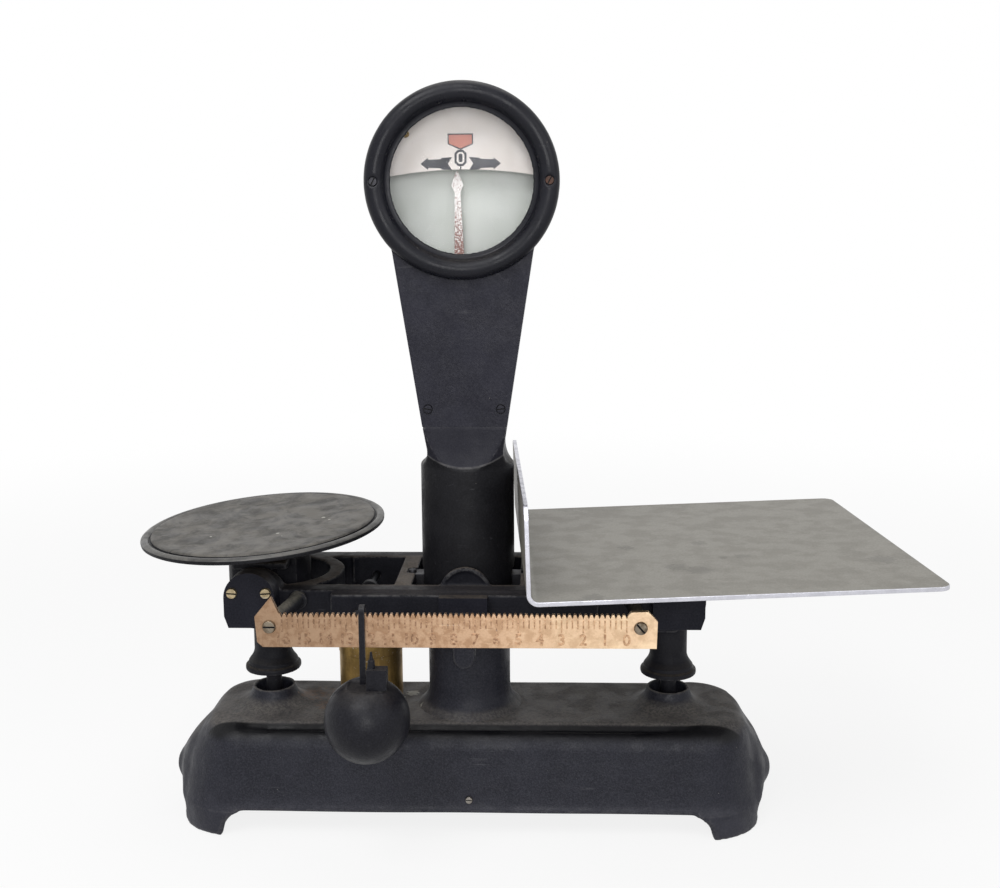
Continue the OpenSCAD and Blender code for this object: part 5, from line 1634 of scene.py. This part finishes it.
@dataclass
class Dial:
    """The chart with its printed marks, the backing behind it and the pointer."""

    print_t: float = 0.06
    front_y: float = -8.0
    zero_x: float = -1.7
    zero_z: float = 429.9
    arrow_z: float = 426.4

    def printed(self, name: str, shape: bmesh.types.BMesh, finish: Finish, fitter: Fitter,
                lift: float = 0.0) -> None:
        """Fit a printed mark on the chart's face.

        Args:
            name: The mark's name.
            shape: Its shape, back or front at Y = 0.
            finish: Its ink.
            fitter: Puts it in place.
            lift: Height above the chart, in millimetres.
        """
        front = self.front_y - self.print_t - lift
        bmesh.ops.translate(shape, verts=shape.verts, vec=(0, front * MM, 0))
        fitter.fit(Bench.adopt(name, shape), Body.STAND, Slot.DIAL_WHITE, finish)

    def arrow(self, tail: float, tip: float, z: float) -> bmesh.types.BMesh:
        """Make an arrow that points along X, with a barbed tail.

        Args:
            tail: X of its tail, in millimetres.
            tip: X of its tip, in millimetres.
            z: Its height, in millimetres.

        Returns:
            The arrow's shape.
        """
        way = 1 if tip > tail else -1
        upper = [
            (tip - way * 4.6, z + 3.7), (tip - way * 4.8, z + 2.5), (tail + way * 7.0, z + 2.8),
            (tail + way * 6.6, z + 3.6), (tail, z + 4.0)]
        lower = [(x, 2 * z - height) for x, height in reversed(upper)]
        return Bench.slab([(tip, z)] + upper + [(tail + way * 2.6, z)] + lower, self.print_t)

    def link(self, half_w: float, half_h: float) -> bmesh.types.BMesh:
        """Make an upright lozenge with cut corners.

        Args:
            half_w: Half its width, in millimetres.
            half_h: Half its height, in millimetres.

        Returns:
            The lozenge's shape.
        """
        cut = half_w * 0.55
        quarter = [(half_w, half_h - cut), (half_w - cut, half_h)]
        outline = quarter + [(-x, z) for x, z in reversed(quarter)]
        return Bench.slab(outline + [(-x, -z) for x, z in outline], self.print_t)

    def shield(self, inset: float) -> bmesh.types.BMesh:
        """Make the five-cornered sign over the zero.

        Args:
            inset: How much smaller it is all round, in millimetres.

        Returns:
            The sign's shape.
        """
        left, right, top, shoulder, tip = -9.7, 6.3, 444.9, 438.4, 434.8
        low = shoulder + inset / 2
        outline = [
            (left + inset, top - inset), (left + inset, low), (self.zero_x, tip + inset * 1.2),
            (right - inset, low), (right - inset, top - inset)]
        return Bench.slab(outline, self.print_t)

    def build(self, fitter: Fitter) -> None:
        """Make and fit the dial's pieces.

        Args:
            fitter: Puts them in place.
        """
        fitter.eased("dial_chart", "chart_plate", 0.15, Body.STAND, Slot.DIAL_WHITE, CHART_WHITE)
        fitter.eased("dial_backing", "backing_plate", 0.15, Body.STAND, Slot.DIAL_WHITE, BACK_WHITE)
        fitter.dress(OLD_BRASS, "dial_spacers", "dial_screws", "sensitivity_nut")
        self.printed("dial_left_arrow", self.arrow(-7.1, -26.9, self.arrow_z), PRINT_BLACK, fitter)
        self.printed("dial_right_arrow", self.arrow(3.6, 23.6, self.arrow_z), PRINT_BLACK, fitter)
        self.printed("dial_sign_border", self.shield(0.0), PRINT_BLACK, fitter)
        self.printed("dial_sign", self.shield(0.8), PRINT_RED, fitter, self.print_t)
        tick = Bench.slab([(-0.45, 425.6), (-0.45, 422.8), (0.45, 422.8), (0.45, 425.6)], self.print_t)
        rings = [self.link(3.8, 5.0), self.link(2.4, 3.6), self.link(1.2, 2.6)]
        middle = Matrix.Translation((self.zero_x * MM, 0, self.zero_z * MM))
        mark = Bench.join([(rings[0], middle), (tick, Matrix.Translation((self.zero_x * MM, 0, 0)))])
        self.printed("dial_zero", mark, PRINT_BLACK, fitter)
        line = Bench.join([(rings[1], middle)])
        self.printed("dial_zero_line", line, CHART_WHITE, fitter, self.print_t)
        core = Bench.join([(rings[2], middle)])
        self.printed("dial_zero_core", core, PRINT_BLACK, fitter, 2 * self.print_t)
        fitter.eased("pointer_blade", "pointer_arrow", 0.2, Body.BEAM, Slot.POINTER_WHITE, POINTER_PAINT)
        fitter.dress(DULL_STEEL, "pointer_stem")


@dataclass
class Dashpot:
    """The brass damper left of the column."""

    def build(self, fitter: Fitter) -> None:
        """Make and fit the damper's pieces.

        Args:
            fitter: Puts them in place.
        """
        for part in ("cylinder", "cap"):
            fitter.eased(
                f"dashpot_{part}", f"damper_{part}", 0.35, Body.STAND, Slot.DASHPOT_BRASS, OLD_BRASS)
        fitter.eased("dashpot_plunger", "damper_plunger", 0.3, Body.PLUNGER, Slot.STEEL, DARK_STEEL)


@dataclass
class Beam:
    """The beam's casting with its knife edges, covers and housings."""

    ring_x: float = 128.0
    ring_in_r: float = 34.5
    ring_out_r: float = 44.6
    window_end_x: float = 84.0
    rail_in: float = 32.9
    overlap: float = 1.5
    cut_low: float = 128.0
    cut_h: float = 40.0
    arc_steps: int = 24

    def arc(self, radius: float, low: float, high: float) -> list[tuple[float, float]]:
        """Return points round the ring's middle: distance towards the beam's middle, and Y.

        Args:
            radius: The arc's radius.
            low: The first point's Y.
            high: The last point's Y.

        Returns:
            The points.
        """
        start, end = math.asin(low / radius), math.asin(high / radius)
        turns = [start + (end - start) * k / self.arc_steps for k in range(self.arc_steps + 1)]
        return [(radius * math.cos(t), radius * math.sin(t)) for t in turns]

    def cutters(self) -> list[bpy.types.Object]:
        """Make the solids that leave each curved rib as a ring round its end knife edge.

        Returns:
            The cutters.
        """
        past = self.ring_x - self.window_end_x + self.overlap
        near_y = math.sqrt(self.ring_out_r ** 2 - (past - self.overlap) ** 2)
        corner = self.arc(self.ring_out_r, near_y, self.rail_in)
        corner += [(past, self.rail_in), (past, near_y)]
        inside = self.arc(self.ring_in_r, -self.rail_in, self.rail_in)
        inside += [(0.0, self.rail_in), (0.0, -self.rail_in)]
        outlines = [inside, corner, [(u, -y) for u, y in corner]]
        made = []
        upright = Matrix.Rotation(-math.pi / 2, 4, "X")
        place = Matrix.Translation((0, 0, (self.cut_low + self.cut_h) * MM)) @ upright
        for side in (-1, 1):
            for outline in outlines:
                shape = Bench.slab([(side * (self.ring_x - u), y) for u, y in outline], self.cut_h)
                shape.transform(place)
                made.append(Bench.adopt("rib_cutter", shape))
        return made

    def build(self, fitter: Fitter) -> None:
        """Make and fit the beam's pieces.

        Args:
            fitter: Puts them in place.
        """
        frame = Bench.cast("beam_frame", "beam_casting", 0.95, 2, cutters=self.cutters())
        fitter.fit(frame, Body.BEAM, Slot.DUSTY_IRON, BEAM_PAINT, nodes=["beam_frame"])
        fitter.eased("centre_housings", "knife_housings", 0.7, Body.BEAM, Slot.BLACK_IRON, COVER_PAINT)
        for side in ("left", "right"):
            node = f"{side}_bearing_covers"
            covers = Bench.ease(node, f"{side}_end_caps", 0.9, 3)
            fitter.fit(covers, Body.BEAM, Slot.BLACK_IRON, COVER_PAINT, nodes=[node])
        fitter.eased(
            "cover_screws", "cap_screws", SCREW_BEVEL, Body.BEAM, Slot.BRASS, SCREW_BRASS, SLOT_SHADE,
            slot_w=1.6)
        fitter.eased("pointer_bridge", "bridge_bar", 0.6, Body.BEAM, Slot.STEEL, DARK_STEEL)
        fitter.dress(DULL_STEEL, "centre_knife_edges", "left_knife_edges", "right_knife_edges")
        fitter.dress(DARK_STEEL, "dashpot_cross_pin", "bridge_screws")


@dataclass
class NotchedBar:
    """The notched bar with its ticks and numbers, and the arms that carry it."""

    face_y: float = -96.0
    zero_x: float = 98.4
    pitch: float = 3.175
    marks: int = 16
    tick_top: float = 158.6
    tick_low: float = 153.4
    long_low: float = 151.0
    figure_z: float = 146.4
    figure_h: float = 6.6
    figure_bold: float = 0.22
    relief: float = 0.25
    tick_w: float = 0.8

    def ticks(self) -> bmesh.types.BMesh:
        """Make the short and long ticks under the notches.

        Returns:
            All ticks as one shape.
        """
        parts = []
        for k in range(4 * self.marks + 1):
            low = self.tick_low if k % 4 else self.long_low
            x = self.zero_x - k * self.pitch
            shape = bmesh.new()
            bmesh.ops.create_cube(shape, size=1.0)
            size = Matrix.Diagonal((self.tick_w * MM, self.relief * MM, (self.tick_top - low) * MM, 1))
            middle = Vector((x, self.face_y - self.relief / 2, (self.tick_top + low) / 2))
            parts.append((shape, Matrix.Translation(middle * MM) @ size))
        return Bench.join(parts)

    def figures(self) -> bmesh.types.BMesh:
        """Make the numbers from 0 at the right to the last mark at the left.

        Returns:
            All numbers as one shape.
        """
        parts = []
        for k in range(self.marks + 1):
            x = self.zero_x - 4 * k * self.pitch
            place = Matrix.Translation((x * MM, self.face_y * MM, self.figure_z * MM))
            parts.append((Bench.stamp(str(k), self.figure_h, self.relief, self.figure_bold), place))
        return Bench.join(parts)

    def build(self, fitter: Fitter) -> None:
        """Make and fit the bar's pieces.

        Args:
            fitter: Puts them in place.
        """
        fitter.eased("graduated_bar", "notched_bar", 0.25, Body.BEAM, Slot.COPPER_BRASS, BAR_BRASS)
        fitter.fit(Bench.adopt("bar_ticks", self.ticks()), Body.BEAM, Slot.COPPER_BRASS, BAR_MARKS)
        fitter.fit(Bench.adopt("bar_figures", self.figures()), Body.BEAM, Slot.COPPER_BRASS, BAR_MARKS)
        fitter.eased(
            "bar_screws", "bar_slotted_screws", SCREW_BEVEL, Body.BEAM, Slot.STEEL, BAR_STEEL, SLOT_SHADE,
            slot_w=2.0)
        arms = Bench.cast("bar_arms", "bar_arm_castings", 0.7, 2)
        fitter.fit(arms, Body.BEAM, Slot.DUSTY_IRON, ARM_PAINT, nodes=["bar_arms"])


@dataclass
class PanSupports:
    """The two castings that hang on the end knife edges, with their bells and stems."""

    bell_r: float = 17.6
    bead_h: float = 3.4
    bead_out: float = 0.9
    bead_fade: float = 0.6
    groove_in: float = 0.8
    groove_up: float = 1.2
    groove_half_w: float = 0.8
    reach_h: float = 3.0
    wall: float = 2.2

    def bead(self, shape: bmesh.types.BMesh) -> None:
        """Raise the bead round the bell's rim, and cut the groove over it.

        Args:
            shape: The support's mesh.
        """
        rim = min(v.co.z for v in shape.verts) / MM
        middle = math.copysign(ARM_L, shape.verts[:][0].co.x)
        for v in shape.verts:
            out = Vector((v.co.x - middle * MM, v.co.y, 0))
            above = v.co.z / MM - rim - self.bead_h
            if above < self.reach_h and out.length > (self.bell_r - self.wall) * MM:
                lift = self.bead_out * (1.0 - ease_in(above, -self.bead_fade, self.bead_fade))
                lift -= self.groove_in * math.exp(-(((above - self.groove_up) / self.groove_half_w) ** 2))
                v.co += out.normalized() * lift * MM

    def build(self, fitter: Fitter) -> None:
        """Make and fit both supports.

        Args:
            fitter: Puts them in place.
        """
        for side, body in (("left", Body.LEFT), ("right", Body.RIGHT)):
            support = Bench.cast(f"{side}_support", f"{side}_support_casting", 0.8, 2, self.bead)
            fitter.fit(support, body, Slot.BLACK_IRON, SUPPORT_PAINT, nodes=[f"{side}_support"])
            fitter.eased(f"{side}_stem", f"{side}_stem_rod", 0.5, body, Slot.BLACK_IRON, SUPPORT_PAINT)
            fitter.dress(DARK_STEEL, f"{side}_bearings", f"{side}_stem_pin")


@dataclass
class RoundPlate:
    """The round plate on the left."""

    radius: float = 79.8
    ring_w: float = 6.5
    step: float = 1.2
    edge_t: float = 3.4
    hub_r: float = 26.0
    boss_r: float = 12.0
    boss_h: float = 4.5
    spare: float = 1.6
    centre: Point = (-136.0, 0.0, 193.0)
    tilt: float = 3.36
    tilt_back: float = 2.22
    spin_steps: int = 144
    groove: tuple[float, float] = (-0.2, 1.0)

    def profile(self, hub_d: float) -> list[tuple[float, float]]:
        """Return the plate's section from the middle of its top round to the middle of its underside.

        Args:
            hub_d: Depth of the hub under the ring, in millimetres.

        Returns:
            Radius and height of each point, in millimetres.
        """
        mid = self.radius - self.ring_w
        top = self.step
        return [
            (0.0, top - 0.5), (24.0, top - 0.45), (48.0, top - 0.3), (mid - 4.0, top - 0.1),
            (mid - 1.4, top), (mid - 0.5, top - 0.3), (mid, top - 1.0), (mid + 0.3, -0.7),
            (mid + 1.1, -0.8), (mid + 1.8, -0.1), (mid + 2.8, 0.5), (mid + 4.0, 0.55), (mid + 5.0, 0.15),
            (self.radius - 0.7, -0.3), (self.radius - 0.1, -0.8), (self.radius, -1.4),
            (self.radius - 0.2, -self.edge_t + 0.6), (self.radius - 1.2, -self.edge_t),
            (self.hub_r + 14.0, -self.edge_t - 1.5), (self.hub_r + 1.5, -self.edge_t - 4.4),
            (self.hub_r, -self.edge_t - 6.0), (self.hub_r, -hub_d + 0.6), (self.hub_r - 0.6, -hub_d),
            (self.boss_r, -hub_d), (self.boss_r - 1.0, -hub_d - self.boss_h), (0.0, -hub_d - self.boss_h)]

    def build(self, fitter: Fitter) -> None:
        """Make and fit the plate.

        Args:
            fitter: Puts it in place.
        """
        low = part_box("round_plate")[0].z / MM
        hub_d = self.centre[2] - low - self.boss_h - self.spare
        shape = Bench.spin(self.profile(hub_d), self.spin_steps)
        tilt = Matrix.Rotation(math.radians(-self.tilt), 4, "Y")
        back = Matrix.Rotation(math.radians(self.tilt_back), 4, "X")
        place = Matrix.Translation(Vector(self.centre) * MM) @ tilt @ back
        shape.transform(place)
        plate = Bench.adopt("weighing_plate", shape, 50.0)
        level = place.inverted()
        for face in plate.data.polygons:
            flat = (level @ face.center) / MM
            out = math.hypot(flat.x, flat.y) - self.radius + self.ring_w
            in_groove = self.groove[0] < out < self.groove[1]
            under = flat.z < -1.0 or face.normal.z < 0
            # faces underneath take the dark underside paint; the groove's faces take it as painted shade
            if under or in_groove:
                face.material_index = 2
            elif out > 0:
                face.material_index = 1
        fitter.fit(
            plate, Body.PLATE, Slot.PLATE_METAL, PLATE_TOP, PLATE_RIM, PLATE_UNDER_AND_GROOVE_SHADE, nodes=["round_plate"])


@dataclass
class Platter:
    """The flat platter on the right, a sheet bent up along its left side."""

    length: float = 236.9
    width: float = 240.8
    side_h: float = 54.6
    bend_r: float = 7.0
    corner_r: float = 8.0
    edge_w: float = 0.9
    corner: Point = (43.0, -127.5, 179.1)
    tilt: float = 1.6
    tilt_back: float = 0.8
    turn: float = 2.9

    def build(self, fitter: Fitter) -> None:
        """Make and fit the platter and the pad under it.

        Args:
            fitter: Puts them in place.
        """
        platter = Bench.ease("platter", "flat_platter", 0.35, 2)
        self.mark_edges(platter.data)
        fitter.fit(platter, Body.TRAY, Slot.PLATTER_SHEET, PLATTER_TOP, PLATTER_EDGE, nodes=["platter"])
        fitter.eased("platter_boss", "platter_pad", 0.5, Body.TRAY, Slot.STEEL, DARK_STEEL)

    def frame(self) -> Matrix:
        """Work out the matrix that puts the platter's own frame in place.

        Returns:
            The matrix.
        """
        turn = Matrix.Rotation(math.radians(self.turn), 4, "Z")
        tilt = Matrix.Rotation(math.radians(-self.tilt), 4, "Y")
        back = Matrix.Rotation(math.radians(-self.tilt_back), 4, "X")
        return Matrix.Translation(Vector(self.corner) * MM) @ turn @ tilt @ back

    def mark_edges(self, mesh: bpy.types.Mesh) -> None:
        """Give the sheet's sawn edges their own material index.

        Args:
            mesh: The platter's mesh, in place.
        """
        own = self.frame().inverted()
        run = self.corner_r
        for face in mesh.polygons:
            x, y, z = (own @ face.center) / MM
            upright = z > self.bend_r
            far = self.side_h - z if upright else self.length - x
            across = min(y, self.width - y)
            rounded = math.hypot(run - far, run - across) > run - self.edge_w
            in_corner = far < run and across < run and rounded
            if min(far, across) < self.edge_w or in_corner:
                face.material_index = 1


@dataclass
class Poise:
    """The ball that hangs on the notched bar."""

    def build(self, fitter: Fitter) -> None:
        """Make and fit the poise's pieces.

        Args:
            fitter: Puts them in place.
        """
        ball = Bench.cast("poise_ball", "poise_ball_casting", 0.9, 2)
        fitter.fit(ball, Body.POISE, Slot.BLACK_IRON, POISE_PAINT, nodes=["poise_ball"])
        fitter.eased("poise_plug", "poise_filling_plug", 0.5, Body.POISE, Slot.BLACK_IRON, POISE_PAINT)
        fitter.eased("poise_strap", "poise_hook", 0.3, Body.POISE, Slot.BLACK_IRON, POISE_PAINT)


@dataclass
class Studio:
    """Camera, lamps, pale floor and white surroundings."""

    place: Point = (49.7506, -772.8199, 384.441)
    yaw: float = 2.0225
    pitch: float = -8.348
    roll: float = 0.401
    focal_px: float = 1198.9044
    centre_px: tuple[float, float] = (501.2618, 406.8662)
    frame_px: tuple[int, int] = (1000, 888)
    sensor: float = 36.0
    aim: Point = (30, 0, 200)
    floor_half: float = 12.0
    floor_grey: float = 0.86
    near_m: float = 0.4
    far_m: float = 1.6
    near_white: float = 0.84
    glossy_loss: float = 0.4
    soft_light: float = 0.3

    def camera(self) -> None:
        """Set the camera where the photograph was taken from."""
        data = bpy.data.cameras.new("view")
        data.sensor_width = self.sensor
        data.lens = self.focal_px / self.frame_px[0] * self.sensor
        data.shift_x = (self.frame_px[0] / 2 - self.centre_px[0]) / self.frame_px[0]
        data.shift_y = (self.centre_px[1] - self.frame_px[1] / 2) / self.frame_px[0]
        data.clip_start = 0.01
        turn = (
            Matrix.Rotation(math.radians(self.yaw), 4, "Z")
            @ Matrix.Rotation(math.radians(self.pitch), 4, "X")
            @ Matrix.Rotation(math.radians(self.roll), 4, "Y")
        )
        look = turn @ Matrix.Rotation(math.pi / 2, 4, "X")
        made = bpy.data.objects.new("view", data)
        made.matrix_world = Matrix.Translation(Vector(self.place) * MM) @ look
        bpy.context.scene.collection.objects.link(made)
        bpy.context.scene.camera = made

    def lamp(self, name: str, place: Point, size: float, power: float) -> None:
        """Add a square soft lamp that points at the scale's middle.

        Args:
            name: The lamp's name.
            place: Its place, in millimetres.
            size: Its side, in millimetres.
            power: Its power in watts.
        """
        data = bpy.data.lights.new(name, "AREA")
        data.size = size * MM
        data.energy = power
        made = bpy.data.objects.new(name, data)
        spot = Vector(place) * MM
        turn = (Vector(self.aim) * MM - spot).to_track_quat("-Z", "Y")
        made.matrix_world = Matrix.Translation(spot) @ turn.to_matrix().to_4x4()
        bpy.context.scene.collection.objects.link(made)

    def seen_white(self, graph: Graph) -> Socket:
        """Return a mask of the rays that see the surroundings as white.

        Args:
            graph: The material's or the world's graph.

        Returns:
            The mask's socket.
        """
        path = graph.node("ShaderNodeLightPath").outputs
        seen = graph.math("MAXIMUM", path["Is Camera Ray"], path["Is Glossy Ray"])
        return graph.math("MAXIMUM", seen, path["Is Transmission Ray"])

    def floor(self) -> None:
        """Lay the pale floor, which keeps the scale's shadow."""
        shape = bmesh.new()
        bmesh.ops.create_grid(shape, x_segments=4, y_segments=4, size=self.floor_half)
        made = Bench.adopt("floor", shape)
        paint = bpy.data.materials.new("floor_white")
        paint.use_nodes = True
        paint.node_tree.nodes.clear()
        graph = Graph(paint.node_tree)
        grey = self.floor_grey
        matt = graph.node("ShaderNodeBsdfDiffuse", {"Color": (grey, grey, grey, 1)})
        glow = graph.node("ShaderNodeEmission", {"Color": (1, 1, 1, 1), "Strength": 1.0})
        place = graph.node("ShaderNodeTexCoord").outputs["Object"]
        away = graph.node("ShaderNodeVectorMath", {0: place}, operation="LENGTH").outputs["Value"]
        path = graph.node("ShaderNodeLightPath").outputs
        loss = graph.math("MULTIPLY", path["Is Glossy Ray"], self.glossy_loss)
        near = graph.math("SUBTRACT", self.near_white, loss)
        level = graph.fade(away, self.near_m, self.far_m, near, 1.0)
        share = graph.math("MULTIPLY", self.seen_white(graph), level)
        blend = graph.node("ShaderNodeMixShader", {0: share, 1: matt.outputs[0], 2: glow.outputs[0]})
        output = graph.node("ShaderNodeOutputMaterial")
        graph.put(output.inputs["Surface"], blend.outputs[0])
        made.data.materials.append(paint)

    def world(self) -> None:
        """Surround the scale with soft even light and a white backdrop."""
        made = bpy.data.worlds.new("studio")
        bpy.context.scene.world = made
        made.use_nodes = True
        made.node_tree.nodes.clear()
        graph = Graph(made.node_tree)
        soft = graph.node("ShaderNodeBackground", {"Color": (1, 1, 1, 1), "Strength": self.soft_light})
        white = graph.node("ShaderNodeBackground", {"Color": (1, 1, 1, 1), "Strength": 1.0})
        seen = self.seen_white(graph)
        blend = graph.node("ShaderNodeMixShader", {0: seen, 1: soft.outputs[0], 2: white.outputs[0]})
        output = graph.node("ShaderNodeOutputWorld")
        graph.put(output.inputs["Surface"], blend.outputs[0])

    def build(self) -> None:
        """Set up the whole studio."""
        self.camera()
        self.floor()
        self.world()
        self.lamp("key", (-450, -1000, 1500), 900, 15)
        self.lamp("front", (150, -1700, 620), 700, 9)
        self.lamp("fill", (1100, -900, 900), 900, 4)
        self.lamp("top", (0, 200, 1700), 1200, 7)
        bpy.context.scene.view_settings.view_transform = "Standard"


def main() -> None:
    """Build the studio and every part of the scale, and note the sizes."""
    logging.basicConfig(level=logging.INFO, format="%(name)s: %(message)s")
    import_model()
    Studio().build()
    fitter = Fitter()
    for part in (Base(), Tower(), Dial(), Dashpot(), Beam(), NotchedBar(), PanSupports(), RoundPlate(),
                 Platter(), Poise()):
        part.build(fitter)
        log.info("%s done", type(part).__name__)
    log.info("%d pieces fitted", fitter.count)


if __name__ == "__main__":
    main()
